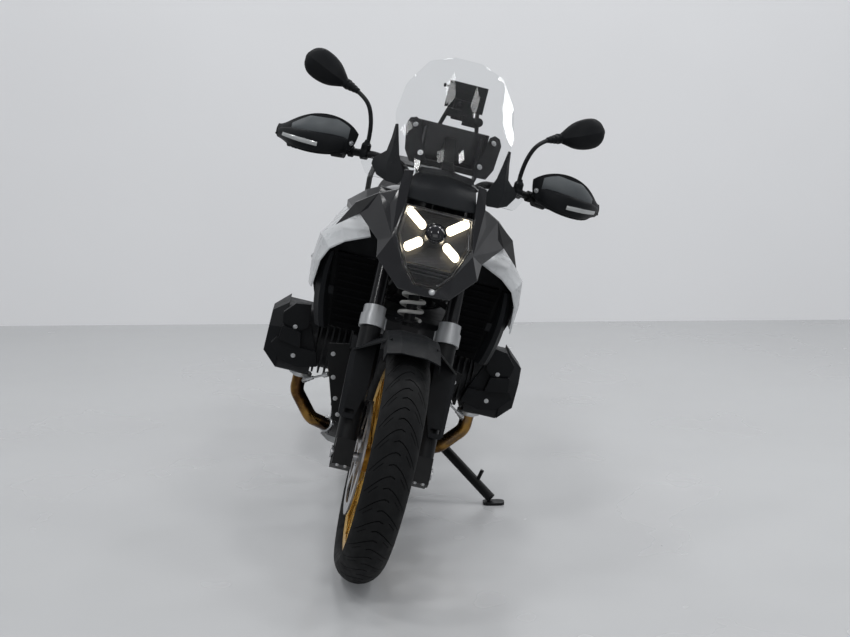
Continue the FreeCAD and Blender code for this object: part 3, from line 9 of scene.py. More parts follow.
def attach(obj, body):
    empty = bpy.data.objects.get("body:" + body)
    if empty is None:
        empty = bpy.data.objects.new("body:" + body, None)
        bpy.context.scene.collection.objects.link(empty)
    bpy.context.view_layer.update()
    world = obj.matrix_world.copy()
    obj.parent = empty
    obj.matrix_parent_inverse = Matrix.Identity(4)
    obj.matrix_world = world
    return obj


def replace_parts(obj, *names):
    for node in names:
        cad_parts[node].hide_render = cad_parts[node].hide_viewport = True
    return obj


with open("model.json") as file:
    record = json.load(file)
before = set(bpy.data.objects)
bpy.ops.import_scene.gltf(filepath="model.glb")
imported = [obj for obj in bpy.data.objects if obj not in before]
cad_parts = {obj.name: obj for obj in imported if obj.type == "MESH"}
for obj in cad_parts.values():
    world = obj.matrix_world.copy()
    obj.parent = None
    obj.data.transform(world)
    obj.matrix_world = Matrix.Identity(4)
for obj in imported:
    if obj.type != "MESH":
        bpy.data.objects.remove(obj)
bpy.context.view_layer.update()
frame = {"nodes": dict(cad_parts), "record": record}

# Stance, in millimetres and degrees, as in the CAD source.
LEAN = 14.1
REST_STEER = 1.1
RAKE = 26.2
TRAIL = 112.0
WHEELBASE = 1518.0
ORIGIN = Vector((247.0, 779.0, 0.0))
FRONT_R, FRONT_CROWN = 325.0, 64.0
REAR_R, REAR_CROWN = 318.0, 96.0

# Camera fitted to the photograph: place from the front wheel's contact point.
PHOTO_W = 850
FOCAL_PX = 1588.0
CAMERA_AT = Vector((37.0, -4091.0, 1503.0))
CAMERA_YAW = -2.24
CAMERA_DOWN = 10.98
SENSOR = 36.0
WALL_Y = 2.76

NODES = frame["nodes"]


def turn(axis, degrees):
    return Matrix.Rotation(math.radians(degrees), 4, Vector(axis))


def tyre_low(axle, across, radius, crown):
    """Height of the lowest point of a leaning tyre."""
    return axle.z - (radius - crown) * math.sqrt(1 - across.z ** 2) - crown


def parked():
    """The stance that the CAD source gives the bike: leaned, level on both tyres."""
    steer_axis = (0, math.sin(math.radians(RAKE)), math.cos(math.radians(RAKE)))
    foot = Vector((0, -TRAIL, 0))
    steer = Matrix.Translation(foot) @ turn(steer_axis, REST_STEER) @ Matrix.Translation(-foot)
    pitch = 0.0
    for _ in range(4):
        stance = turn((1, 0, 0), math.degrees(pitch)) @ turn((0, 1, 0), LEAN)
        front = stance @ steer
        across = front.to_3x3() @ Vector((1, 0, 0))
        front_low = tyre_low(front @ Vector((0, 0, FRONT_R)), across, FRONT_R, FRONT_CROWN)
        across = stance.to_3x3() @ Vector((1, 0, 0))
        rear_low = tyre_low(stance @ Vector((0, WHEELBASE, REAR_R)), across, REAR_R, REAR_CROWN)
        pitch -= (rear_low - front_low) / WHEELBASE
    return Matrix.Translation(-ORIGIN - Vector((0, 0, front_low))) @ stance, steer


PARKED, STEER = parked()
MILLIMETRES = Matrix.Scale(0.001, 4)
PLACE = {
    "chassis": MILLIMETRES @ PARKED,
    "rear_wheel": MILLIMETRES @ PARKED,
    "side_stand": MILLIMETRES @ PARKED,
    "steering": MILLIMETRES @ PARKED @ STEER,
    "front_wheel": MILLIMETRES @ PARKED @ STEER,
}


# Materials

class Shader:
    """A Principled material with procedural colour, roughness and bump."""

    def __init__(self, name):
        self.material = bpy.data.materials.new(name)
        self.material.use_nodes = True
        self.nodes = self.material.node_tree.nodes
        self.links = self.material.node_tree.links
        self.main = self.nodes["Principled BSDF"]
        self.place = self.nodes.new("ShaderNodeTexCoord").outputs["Object"]
        self.normal = None

    def set(self, **values):
        for name, value in values.items():
            self.main.inputs[name.replace("_", " ")].default_value = value

    def noise(self, scale, detail=3.0, stretch=None):
        node = self.nodes.new("ShaderNodeTexNoise")
        node.inputs["Scale"].default_value = scale
        node.inputs["Detail"].default_value = detail
        source = self.place
        if stretch:
            mapping = self.nodes.new("ShaderNodeMapping")
            mapping.inputs["Scale"].default_value = stretch
            self.links.new(source, mapping.inputs["Vector"])
            source = mapping.outputs["Vector"]
        self.links.new(source, node.inputs["Vector"])
        return node.outputs["Fac"]

    def cells(self, scale):
        node = self.nodes.new("ShaderNodeTexVoronoi")
        node.inputs["Scale"].default_value = scale
        self.links.new(self.place, node.inputs["Vector"])
        return node.outputs["Distance"]

    def ramp(self, factor, stops):
        node = self.nodes.new("ShaderNodeValToRGB")
        elements = node.color_ramp.elements
        while len(elements) < len(stops):
            elements.new(0.5)
        for element, (at, colour) in zip(elements, stops):
            element.position = at
            element.color = (*colour, 1)
        self.links.new(factor, node.inputs["Fac"])
        return node.outputs["Color"]

    def colour(self, factor, stops):
        self.links.new(self.ramp(factor, stops), self.main.inputs["Base Color"])

    def roughness(self, factor, low, high):
        node = self.nodes.new("ShaderNodeMapRange")
        node.inputs["From Min"].default_value = 0.3
        node.inputs["From Max"].default_value = 0.7
        node.inputs["To Min"].default_value = low
        node.inputs["To Max"].default_value = high
        self.links.new(factor, node.inputs["Value"])
        self.links.new(node.outputs["Result"], self.main.inputs["Roughness"])

    def soften(self, radius):
        """Edges that catch the light as if rounded by a radius."""
        node = self.nodes.new("ShaderNodeBevel")
        node.samples = 4
        node.inputs["Radius"].default_value = radius
        self.normal = node.outputs["Normal"]
        self.links.new(self.normal, self.main.inputs["Normal"])

    def bump(self, height, strength, distance):
        node = self.nodes.new("ShaderNodeBump")
        node.inputs["Strength"].default_value = strength
        node.inputs["Distance"].default_value = distance
        self.links.new(height, node.inputs["Height"])
        if self.normal:
            self.links.new(self.normal, node.inputs["Normal"])
        self.normal = node.outputs["Normal"]
        self.links.new(self.normal, self.main.inputs["Normal"])


def tones(colour, spread):
    """Two stops either side of a colour."""
    dark = tuple(c * (1 - spread) for c in colour)
    light = tuple(c * (1 + spread) for c in colour)
    return [(0.32, dark), (0.68, light)]


def finish_of(name, colour, rough, spread=0.12, metal=0.0, grain=None, cells=None, brushed=None, edge=None,
              waves=None, **more):
    """One finish: patchy colour and gloss, with a grain, a cell pattern or brush marks."""
    shader = Shader(name)
    if edge:
        shader.soften(edge)
    if waves:
        shader.bump(shader.noise(6.0, 1.0), 0.6, waves)
    patch = shader.noise(14.0)
    shader.colour(patch, tones(colour, spread))
    shader.roughness(shader.noise(38.0), *rough)
    shader.set(Metallic=metal, **more)
    if cells:
        shader.bump(shader.cells(cells), 0.35, 0.0003)
    if grain:
        shader.bump(shader.noise(grain, 2.0), 0.3, 0.0002)
    if brushed:
        shader.bump(shader.noise(60.0, 2.0, brushed), 0.12, 0.0002)
    return shader.material


def header_finish():
    """Heat-tinted pipe, from near black through brown to straw, in patches."""
    shader = Shader("header_steel")
    shader.colour(shader.noise(11.0), [(0.34, (0.04, 0.02, 0.012)), (0.46, (0.09, 0.045, 0.018)),
                                       (0.56, (0.3, 0.17, 0.045)), (0.68, (0.15, 0.1, 0.06))])
    shader.roughness(shader.noise(30.0), 0.22, 0.4)
    shader.set(Metallic=1.0)
    return shader.material


def glow(name, colour, strength):
    shader = Shader(name)
    shader.set(Base_Color=(*colour, 1), Roughness=0.4,
               Emission_Color=(*colour, 1), Emission_Strength=strength)
    return shader.material


def clear(name, colour, ior, rough):
    shader = Shader(name)
    shader.colour(shader.noise(3.0), tones(colour, 0.01))
    shader.set(Roughness=rough, IOR=ior, Transmission_Weight=1.0)
    return shader.material


MATERIALS = {
    "black_paint": finish_of("black_paint", (0.0062, 0.0066, 0.0072), (0.36, 0.5), edge=0.001,
                             Specular_IOR_Level=0.18),
    "cast_dark": finish_of("cast_dark", (0.022, 0.023, 0.025), (0.5, 0.64), metal=0.4, grain=900.0,
                           Specular_IOR_Level=0.35),
    "black_plastic": finish_of("black_plastic", (0.0068, 0.0075, 0.0086), (0.44, 0.58), cells=900.0,
                               edge=0.002, Specular_IOR_Level=0.12),
    "grey_plastic": finish_of("grey_plastic", (0.0095, 0.0105, 0.0118), (0.42, 0.54), cells=1100.0,
                              edge=0.0015, Specular_IOR_Level=0.12),
    "white_panel": finish_of("white_panel", (0.46, 0.474, 0.487), (0.26, 0.3), spread=0.01, Coat_Weight=0.2),
    "gloss_black": finish_of("gloss_black", (0.004, 0.004, 0.005), (0.04, 0.08), edge=0.004, waves=0.012,
                             Specular_IOR_Level=0.5, Coat_Weight=0.5),
    "clear_screen": clear("clear_screen", (0.922, 0.93, 0.933), 1.3, 0.004),
    "lamp_glass": clear("lamp_glass", (0.9, 0.92, 0.95), 1.35, 0.004),
    "light": glow("light", (1.0, 0.86, 0.62), 4.5),
    "seat_cover": finish_of("seat_cover", (0.012, 0.012, 0.013), (0.55, 0.7), cells=420.0,
                            Specular_IOR_Level=0.35),
    "silver": finish_of("silver", (0.5, 0.51, 0.52), (0.3, 0.42), spread=0.05, metal=0.8, grain=1200.0),
    "steel": finish_of("steel", (0.42, 0.42, 0.43), (0.28, 0.42), spread=0.08, metal=1.0,
                       brushed=(1, 12, 12)),
    "header_steel": header_finish(),
    "spring_grey": finish_of("spring_grey", (0.52, 0.52, 0.5), (0.35, 0.45), spread=0.05),
    "gold": finish_of("gold", (0.55, 0.33, 0.07), (0.25, 0.36), spread=0.08, metal=0.9),
    "tyre": finish_of("tyre", (0.0045, 0.0048, 0.0052), (0.6, 0.78), spread=0.25, grain=700.0,
                      Specular_IOR_Level=0.2),
    "grip_rubber": finish_of("grip_rubber", (0.008, 0.008, 0.008), (0.6, 0.75), grain=600.0,
                             Specular_IOR_Level=0.3),
    "screen_display": finish_of("screen_display", (0.01, 0.01, 0.012), (0.1, 0.16)),
    "mirror_glass": finish_of("mirror_glass", (0.8, 0.82, 0.85), (0.02, 0.04), spread=0.02, metal=1.0),
}
SLOT_OF = {row["node"]: row["material_slot"] for row in frame["record"]["subparts"]}


def dress(obj, name):
    """Give a piece one finish."""
    obj.data.materials.clear()
    obj.data.materials.append(MATERIALS[name])
    return obj


def smooth(obj, angle=35.0):
    """Smooth shading that keeps edges sharper than an angle."""
    mesh = obj.data
    for polygon in mesh.polygons:
        polygon.use_smooth = True
    mesh.set_sharp_from_angle(angle=math.radians(angle))
    return obj


def lamp_inner():
    """Dark lamp inside with fine cross ribs."""
    shader = Shader("lamp_inner")
    shader.colour(shader.noise(20.0), tones((0.006, 0.005, 0.004), 0.2))
    shader.roughness(shader.noise(38.0), 0.35, 0.5)
    shader.set(Specular_IOR_Level=0.3)
    wave = shader.nodes.new("ShaderNodeTexWave")
    wave.bands_direction = "Z"
    wave.inputs["Scale"].default_value = 45.0
    shader.links.new(shader.place, wave.inputs["Vector"])
    shader.bump(wave.outputs["Fac"], 0.15, 0.0012)
    return shader.material


def collar_with_painted_shade():
    """Silver collars, with painted shade: the bridge between them, under the fender, is painted near black."""
    shader = Shader("collar_silver_painted_shade")
    across = (PARKED @ STEER).to_3x3() @ Vector((1, 0, 0))
    middle = (PARKED @ STEER) @ Vector((0, 180, 668)) * 0.001
    away = shader.nodes.new("ShaderNodeVectorMath")
    away.operation = "DOT_PRODUCT"
    away.inputs[1].default_value = across
    shader.links.new(shader.place, away.inputs[0])
    shift = shader.nodes.new("ShaderNodeMath")
    shift.operation = "SUBTRACT"
    shift.inputs[1].default_value = middle.dot(across)
    shader.links.new(away.outputs["Value"], shift.inputs[0])
    size = shader.nodes.new("ShaderNodeMath")
    size.operation = "ABSOLUTE"
    shader.links.new(shift.outputs["Value"], size.inputs[0])
    scaled = shader.nodes.new("ShaderNodeMath")
    scaled.operation = "MULTIPLY"
    scaled.inputs[1].default_value = 5.0
    shader.links.new(size.outputs["Value"], scaled.inputs[0])
    # Painted shade: near black within about 67 mm of the bike's middle, silver beyond.
    shader.colour(scaled.outputs["Value"], [(0.335, (0.012, 0.012, 0.013)), (0.345, (0.42, 0.43, 0.44))])
    shader.roughness(shader.noise(38.0), 0.34, 0.46)
    shader.set(Metallic=0.7)
    shader.bump(shader.noise(1200.0, 2.0), 0.3, 0.0002)
    return shader.material


MATERIALS["lamp_inner"] = lamp_inner()
MATERIALS["collar_silver_painted_shade"] = collar_with_painted_shade()
# Guard extension grey: partly its own satin grey, partly painted light from above on its upward face.
MATERIALS["guard_grey_and_painted_top_light"] = finish_of("guard_grey_and_painted_top_light", (0.075, 0.083, 0.088), (0.38, 0.5), cells=1100.0,
                                    Specular_IOR_Level=0.4)
MATERIALS["fork_gloss"] = finish_of("fork_gloss", (0.006, 0.006, 0.007), (0.14, 0.22))
MATERIALS["indicator"] = finish_of("indicator", (0.42, 0.43, 0.43), (0.16, 0.24), spread=0.1, metal=0.3,
                                   brushed=(30, 1, 1), Coat_Weight=0.6)
MATERIALS["deep_black"] = finish_of("deep_black", (0.002, 0.0022, 0.0026), (0.6, 0.7), spread=0.3,
                                    Specular_IOR_Level=0.06)
OWN_FINISH = {"headlamp": "lamp_inner", "radiators": "deep_black", "fork_bridge": "collar_silver_painted_shade",
              "fork_tubes": "fork_gloss"}
for node_name, node in NODES.items():
    dress(node, OWN_FINISH.get(node_name, SLOT_OF[node_name]))


# Pieces drawn in the upright bike's millimetres

def sided(name, side):
    return name + ("_left" if side > 0 else "_right")


def mirrored(points):
    return [Vector((-p[0], p[1], p[2])) for p in points]


def through(points, count, closed=False):
    """Points of a smooth curve through a few given ones."""
    given = [Vector(p) for p in points]
    if not closed:
        given = [given[0] * 2 - given[1]] + given + [given[-1] * 2 - given[-2]]
    spans = len(given) if closed else len(given) - 3
    result = []
    for i in range(count if closed else count + 1):
        at = i / count * spans
        k = min(int(at), spans - 1)
        t = at - k
        a, b, c, d = (given[(k + j - (1 if closed else 0)) % len(given)] for j in range(4))
        result.append(0.5 * (2 * b + (c - a) * t + (2 * a - 5 * b + 4 * c - d) * t ** 2
                             + (3 * b - a - 3 * c + d) * t ** 3))
    return result


class Piece:
    """A mesh drawn in millimetres, placed with the body that it rides on."""

    def __init__(self):
        self.bm = bmesh.new()

    def grid(self, rows, around=False, along=False):
        """Faces between rows of points, closed around each row or along them."""
        made = [[self.bm.verts.new(p) for p in row] for row in rows]
        count = len(made[0])
        for i in range(len(made) if along else len(made) - 1):
            low, high = made[i], made[(i + 1) % len(made)]
            for k in range(count if around else count - 1):
                self.bm.faces.new((low[k], low[(k + 1) % count], high[(k + 1) % count], high[k]))
        return made

    def lathe(self, at, way, profile, segments=24, socket=()):
        """Rings about an axis from (radius, height) pairs; socket rows are six-sided."""
        spin = Vector((0, 0, 1)).rotation_difference(Vector(way)).to_matrix().to_4x4()
        place = Matrix.Translation(Vector(at)) @ spin
        rows = []
        for row, (radius, height) in enumerate(profile):
            ring = []
            for k in range(segments):
                angle = math.tau * k / segments
                reach = radius
                if row in socket:
                    reach *= math.cos(math.pi / 6) / math.cos(angle % (math.pi / 3) - math.pi / 6)
                ring.append(place @ Vector((reach * math.cos(angle), reach * math.sin(angle), height)))
            rows.append(ring)
        made = self.grid(rows, around=True)
        self.bm.faces.new(reversed(made[0]))
        self.bm.faces.new(made[-1])

    def bolt(self, at, way, radius, height):
        """Round head on a washer, with a six-sided socket."""
        self.lathe(at, way, [(radius * 1.5, -1), (radius * 1.5, 0.8), (radius, 0.9), (radius, height * 0.8),
                             (radius * 0.84, height), (radius * 0.55, height), (radius * 0.5, height * 0.4)],
                   12, socket=(5, 6))

    def tube(self, points, radius, segments=12):
        """Round tube along a line of close points, with closed ends."""
        across = None
        rows = []
        for i, point in enumerate(points):
            ahead = (points[min(i + 1, len(points) - 1)] - points[max(i - 1, 0)]).normalized()
            if across is None:
                across = ahead.orthogonal().normalized()
            across = (across - ahead * across.dot(ahead)).normalized()
            other = ahead.cross(across)
            angles = [math.tau * k / segments for k in range(segments)]
            rows.append([point + (across * math.cos(angle) + other * math.sin(angle)) * radius
                         for angle in angles])
        made = self.grid(rows, around=True)
        self.bm.faces.new(reversed(made[0]))
        self.bm.faces.new(made[-1])

    def slab(self, outline, depth):
        """Prism from a closed outline pushed along a vector."""
        depth = Vector(depth)
        near = [self.bm.verts.new(Vector(p)) for p in outline]
        far = [self.bm.verts.new(Vector(p) + depth) for p in outline]
        count = len(near)
        self.bm.faces.new(near)
        self.bm.faces.new(reversed(far))
        for k in range(count):
            self.bm.faces.new((near[k], far[k], far[(k + 1) % count], near[(k + 1) % count]))

    def block(self, x0, x1, y0, y1, z0, z1):
        """Box between two corners."""
        self.slab([(x0, y0, z0), (x1, y0, z0), (x1, y0, z1), (x0, y0, z1)], (0, y1 - y0, 0))

    def done(self, name, body, finish, edge=0.0, angle=35.0):
        """The object in its place, with its finish, rounded edges and shading, riding on its body."""
        bmesh.ops.recalc_face_normals(self.bm, faces=self.bm.faces)
        mesh = bpy.data.meshes.new(name)
        self.bm.to_mesh(mesh)
        self.bm.free()
        mesh.transform(PLACE[body])
        obj = bpy.data.objects.new(name, mesh)
        bpy.context.scene.collection.objects.link(obj)
        dress(obj, finish)
        smooth(obj, angle)
        if edge:
            bevel = obj.modifiers.new("edge", "BEVEL")
            bevel.width = edge * 0.001
            bevel.segments = 2
            bevel.limit_method = "ANGLE"
            bevel.harden_normals = True
        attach(obj, body)
        return obj


def touch(node_name, at, way):
    """Where a line in the bike's frame first meets a CAD node, and the normal there."""
    body = BODY_OF[node_name]
    place = PLACE[body]
    start = place @ Vector(at)
    aim = (place.to_3x3() @ Vector(way)).normalized()
    found, spot, normal, _ = NODES[node_name].ray_cast(start, aim)
    if not found:
        raise RuntimeError(node_name + " is not met from " + str(at))
    if normal.dot(aim) > 0:
        normal = -normal
    back = place.inverted()
    return back @ spot, (back.to_3x3() @ normal).normalized()


def from_front(node_name, x, z):
    """Where a line from the front meets a CAD node."""
    return touch(node_name, (x, -700, z), (0, 1, 0))


BODY_OF = {node: body for body, names in frame["record"]["behaviour"]["bodies"].items() for node in names}


# Tyres: arcs that sweep from the middle to the shoulders, with short slits between them

GROOVES = (("left", 3.6), ("left slit", 2.4), ("right", 3.6), ("right slit", 2.4))
GROOVE_DEPTH = 5.0
SWEEP_LINE, SWEEP_BOW = 0.25, 0.95


def tread_depth(across, column, half):
    """Depth at a column of the pattern: arc left, slit, arc right, slit."""
    kind, deep = column
    reach = abs(across) / half
    if kind == "left" and not -0.93 < across / half < 0.2:
        return 0.0
    if kind == "right" and not -0.2 < across / half < 0.93:
        return 0.0
    if kind == "left slit" and not 0.42 < across / half < 0.74:
        return 0.0
    if kind == "right slit" and not -0.74 < across / half < -0.42:
        return 0.0
    return GROOVE_DEPTH * deep * min(1.0, 0.4 + 1.6 * (1 - reach))


def treaded(name, node_name, axle_y, radius, width, crown, seat, rim_width, pitches):
    """Tyre skin from bead to bead, drawn one pattern pitch after another around the wheel."""
    half = width / 2
    bead = rim_width / 2 - 0.2
    shoulder = radius - crown + math.sqrt(crown ** 2 - half ** 2)
    flange = seat + 13
    rise = shoulder - flange
    wall = through([(bead, 0, seat + 0.2), (bead, 0, flange),
                    (bead + 0.66 * (half - bead), 0, flange + 0.28 * rise),
                    (half - 1.5, 0, flange + 0.72 * rise), (half, 0, shoulder)], 12)[:-1]
    steps = [0.0, 0.16, 0.2, 0.22, 0.4, 0.42, 0.44, 0.58, 0.72, 0.74, 0.76, 0.88, 0.93, 0.95, 1.0]
    tread = [half * s for s in reversed(steps)] + [-half * s for s in steps[1:]]
    pitch = math.tau * radius / pitches
    columns = []
    for k, (kind, groove) in enumerate(GROOVES):
        at = pitch * k / 4
        columns += [(at, (kind, 0)), (at + 0.6, (kind, 1)), (at + groove - 0.6, (kind, 1)),
                    (at + groove, (kind, 0)), (at + pitch * 0.15, (kind, 0))]
    rows = []
    for n in range(pitches):
        for at, column in columns:
            ring = [(p.x, 0.0, p.z) for p in wall]
            for x in tread:
                sweep = SWEEP_LINE * abs(x) + SWEEP_BOW * x * x / half
                high = radius - crown + math.sqrt(crown ** 2 - x * x) - tread_depth(x, column, half)
                ring.append((x, sweep, high))
            ring += [(-p.x, 0.0, p.z) for p in reversed(wall)]
            edge_sweep = SWEEP_LINE * half + SWEEP_BOW * half
            made = []
            for x, sweep, high in ring:
                if abs(x) > half - 0.01 or sweep == 0.0 and abs(x) > 0.01:
                    sweep = edge_sweep
                angle = (n * pitch + at - sweep) / radius
                made.append((x, axle_y - high * math.cos(angle), radius + high * math.sin(angle)))
            rows.append(made)
    piece = Piece()
    piece.grid(rows, along=True)
    tyre = piece.done(name, BODY_OF[node_name], "tyre", angle=28.0)
    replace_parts(tyre, node_name)


treaded("front_tread", "front_tyre", 0.0, FRONT_R, 120.0, FRONT_CROWN, 241.3, 76.2, 34)
treaded("rear_tread", "rear_tyre", WHEELBASE, REAR_R, 170.0, REAR_CROWN, 215.9, 114.3, 30)


# Front spring: the coil as a round wire

def in_fork(at):
    return Vector((0, -TRAIL, 0)) + turn((1, 0, 0), -RAKE).to_3x3() @ Vector(at)


COIL_R, COIL_WIRE, COIL_TURNS, COIL_STEPS = 31.0, 5.4, 5, 140


def front_coil():
    """The coil between the seats of the front strut."""
    low = Vector((0, 282, 640))
    high = in_fork((0, 21.2, 940))
    way = (high - low).normalized()
    start, end = low + way * 26.2, low + way * 169.8
    spin = Vector((0, 0, 1)).rotation_difference(way).to_matrix()
    length = (end - start).length - 11
    points = []
    for i in range(COIL_STEPS + 1):
        angle = math.tau * COIL_TURNS * i / COIL_STEPS
        high = 5.5 + length * i / COIL_STEPS
        points.append(start + spin @ Vector((COIL_R * math.cos(angle), COIL_R * math.sin(angle), high)))
    piece = Piece()
    piece.tube(points, COIL_WIRE, 12)
    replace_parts(piece.done("front_coil", "chassis", "spring_grey"), "front_spring")


front_coil()


# Bolts

chassis_bolts = Piece()
fork_bolts = Piece()
for side in (1, -1):
    for x, z in ((84, 1133), (112, 1201)):
        at, way = from_front("windscreen", side * x, z)
        chassis_bolts.bolt(at, way, 5.2, 5)
    for x, z in ((304, 543), (291, 459)):
        at, way = from_front("head_covers", side * x, z)
        chassis_bolts.bolt(at, way, 4.4, 4)
    for x, z in ((117, 306), (95, 306)):
        at, way = from_front("fork_sliders", side * x, z)
        fork_bolts.bolt(at, way, 4, 4)
    at, way = from_front("hand_guards", side * 272, 1098)
    fork_bolts.bolt(at, way, 4.8, 5)
    for y, z in ((540, 905), (400, 765)):
        at, way = touch("side_panels", (side * 600, y, z), (-side, 0, 0))
        chassis_bolts.bolt(at, way, 5, 3)
chassis_bolts.done("body_bolts", "chassis", "silver")
fork_bolts.done("fork_bolts", "steering", "silver")


# Hand guards: proud moulding with an indicator strip, and a grey extension above it, its grey partly painted
# light from above

def spread(table, x):
    """Values read from a table of columns at a place between two of them."""
    for near, far in zip(table, table[1:]):
        if near[0] <= x <= far[0]:
            t = (x - near[0]) / (far[0] - near[0])
            return [p + (q - p) * t for p, q in zip(near[1:], far[1:])]
    return list(table[-1][1:])


def raised_band(name, side, table, lifts, finish, count=26):
    """Skin laid on the guard between a low and a high edge, lifted by a profile."""
    rows = []
    first, last = table[0][0], table[-1][0]
    for k in range(count + 1):
        x = first + (last - first) * k / count
        low, high = spread(table, x)
        ends = 0.15 if k in (0, count) else 1.0
        row = []
        for part, lift in lifts:
            at, way = from_front("hand_guards", side * x, low + (high - low) * part)
            row.append(at + Vector((0, -1, 0)) * (lift * ends if lift > 0 else lift))
        rows.append(row)
    piece = Piece()
    piece.grid(rows)
    return piece.done(sided(name, side), "steering", finish, angle=60)


MOULDING = [(284, 1074, 1108), (300, 1067, 1112), (330, 1057, 1112), (370, 1051, 1108), (410, 1047, 1103),
            (450, 1051, 1096), (474, 1056, 1086), (482, 1060, 1080)]
EXTENSION = [(284, 1106, 1140), (300, 1108, 1148), (324, 1106, 1156), (362, 1104, 1151), (400, 1100, 1146),
             (430, 1097, 1124), (446, 1094, 1110)]
STRIP = [(362, 1067, 1081), (400, 1066, 1081), (440, 1065, 1079), (470, 1064, 1076)]
for side in (1, -1):
    raised_band("guard_moulding", side, MOULDING,
                [(0.0, -1), (0.03, 4), (0.12, 7), (0.5, 8.5), (0.85, 8), (0.96, 5), (1.0, -1)],
                "black_plastic")
    raised_band("guard_extension", side, EXTENSION,
                [(0.0, -1), (0.06, 1.6), (0.5, 2.2), (0.95, 1.6), (1.0, -1)], "guard_grey_and_painted_top_light")
    raised_band("indicator_frame", side, [(x, low - 3, high + 3) for x, low, high in STRIP],
                [(0.0, 6), (0.12, 9.6), (0.22, 9.0), (0.78, 9.0), (0.88, 9.6), (1.0, 6)], "black_plastic")
    raised_band("indicator", side, STRIP,
                [(0.0, 8), (0.14, 10), (0.5, 11), (0.86, 10), (1.0, 8)], "indicator")


# Mirrors: pointed shells with a crease, tapered boots and cranked stems

BAR_END = Vector((432, 537.8, 1050.1))
BAR_WAY = Vector((-232, -88, 28)).normalized()
MIRROR_WIDTHS = [(0, 9, 7), (0.12, 20, 15), (0.32, 37, 27), (0.55, 45, 31), (0.78, 43, 26), (0.93, 28, 15),
                 (1.0, 5, 2)]
MIRROR_SECTION = [(1.0, 0), (0.94, 0.3), (0.74, 0.62), (0.42, 0.84), (0.12, 0.93), (0.0, 1.0), (-0.12, 0.93),
                  (-0.42, 0.84), (-0.74, 0.62), (-0.94, 0.3), (-1.0, 0), (-0.9, -0.12), (0, -0.12),
                  (0.9, -0.12)]
MIRROR_BOOT = [(15.0, -2), (15.6, 8), (13.4, 10), (13.2, 22), (11.2, 24), (10.8, 36), (9.2, 38), (8.6, 48),
               (6.6, 50)]
MIRROR_STEM = [(226.6, 459.9, 1084), (225, 466, 1124), (232, 474, 1172), (250, 492, 1212), (284, 540, 1236),
               (320, 569, 1248)]
for side in (1, -1):
    tip, root = Vector((453, 603, 1302)), Vector((318, 569, 1247))
    rise = Vector((-(tip - root).z, 0, (tip - root).x)).normalized()
    widths = through(MIRROR_WIDTHS, 22)
    rows = []
    for t, wide, deep in widths:
        middle = root.lerp(tip, t)
        rows.append([middle + rise * (wide * u) - Vector((0, deep * v, 0)) for u, v in MIRROR_SECTION])
    flip = mirrored if side < 0 else list
    piece = Piece()
    made = piece.grid([flip(row) for row in rows], around=True)
    piece.bm.faces.new(made[0])
    piece.bm.faces.new(made[-1])
    neck, stem_top = Vector((322, 570, 1249)), Vector((284, 540, 1237))
    piece.tube(flip(through(MIRROR_STEM, 40)), 6.3, 14)
    at, way = flip([neck])[0], flip([stem_top - neck])[0]
    piece.lathe(at, way, MIRROR_BOOT, 24)
    clamp = BAR_END + BAR_WAY * 210
    piece.lathe(flip([clamp])[0], flip([BAR_WAY])[0], [(15, 0), (17.5, 2), (17.5, 20), (15, 22)], 28)
    base = flip([Vector((226.6, 459.9, 1080))])[0]
    piece.lathe(base, (0, 0, 1), [(13, 0), (14, 4), (14, 20), (12, 24), (9, 27), (7, 34)], 24)
    shell = piece.done(sided("mirror", side), "steering", "black_plastic", angle=26)
    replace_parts(shell, "mirrors")
    glass = []
    for wide, t in [(w, t) for t, w, _ in widths] + [(-w, t) for t, w, _ in reversed(widths)]:
        glass.append(root.lerp(tip, t) + rise * (wide * 0.86) + Vector((0, 4.5, 0)))
    piece = Piece()
    piece.slab(flip(glass), (0, 1.2, 0))
    piece.done(sided("mirror_glass", side), "steering", "mirror_glass")


# Screen: plates behind it at the bolts, and the folded winglets at its lower corners

SCREEN_LINE = [(1020, 206, 24), (1100, 232, 24), (1180, 276, 26), (1260, 336, 33), (1340, 411, 34),
               (1420, 512, 34)]


def on_screen(x, z, back):
    """Point a given way behind the screen's front face."""
    middle, bow = spread(SCREEN_LINE, z)
    return Vector((x, middle + back + bow * (x / 100) ** 2, z))


for side in (1, -1):
    piece = Piece()
    outline = [(60, 1112), (76, 1102), (108, 1102), (126, 1130), (136, 1196), (128, 1214), (112, 1220),
               (98, 1212), (84, 1160)]
    near = [on_screen(side * x, z, 6.5) for x, z in outline]
    piece.slab(near, (0, 4, 0))
    piece.done(sided("screen_plate", side), "chassis", "black_plastic", edge=1.2)
    piece = Piece()
    inner = [(158, 1190), (148, 1150), (138, 1112), (118, 1074), (112, 1058), (126, 1036)]
    crease = [(162, 1190), (160, 1156), (161, 1118), (166, 1084), (164, 1060), (158, 1037)]
    outer = [(166, 1188), (168, 1154), (174, 1114), (205, 1084), (206, 1068), (186, 1044)]
    edges = [[on_screen(side * x, z, lift) for x, z in line]
             for line, lift in ((inner, -19), (crease, -33), (outer, -21))]
    shown = [list(row) for row in zip(*edges)]
    hidden = [[p + Vector((0, 3, 0)) for p in reversed(row)] for row in shown]
    made = piece.grid([near + far for near, far in zip(shown, hidden)], around=True)
    piece.bm.faces.new(made[0])
    piece.bm.faces.new(made[-1])
    piece.tube([on_screen(side * 150, 1084, back) for back in (-24, -12, 3)], 6)
    wing = piece.done(sided("winglet", side), "chassis", "grey_plastic", edge=0.8, angle=14)
    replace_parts(wing, "wind_deflectors")


# Lamp: projector glass in a dark ring

def lamp_slope(z):
    """Depth of the lamp's sloping face at a height."""
    return 134.0 + 0.72 * (z - 972.0)


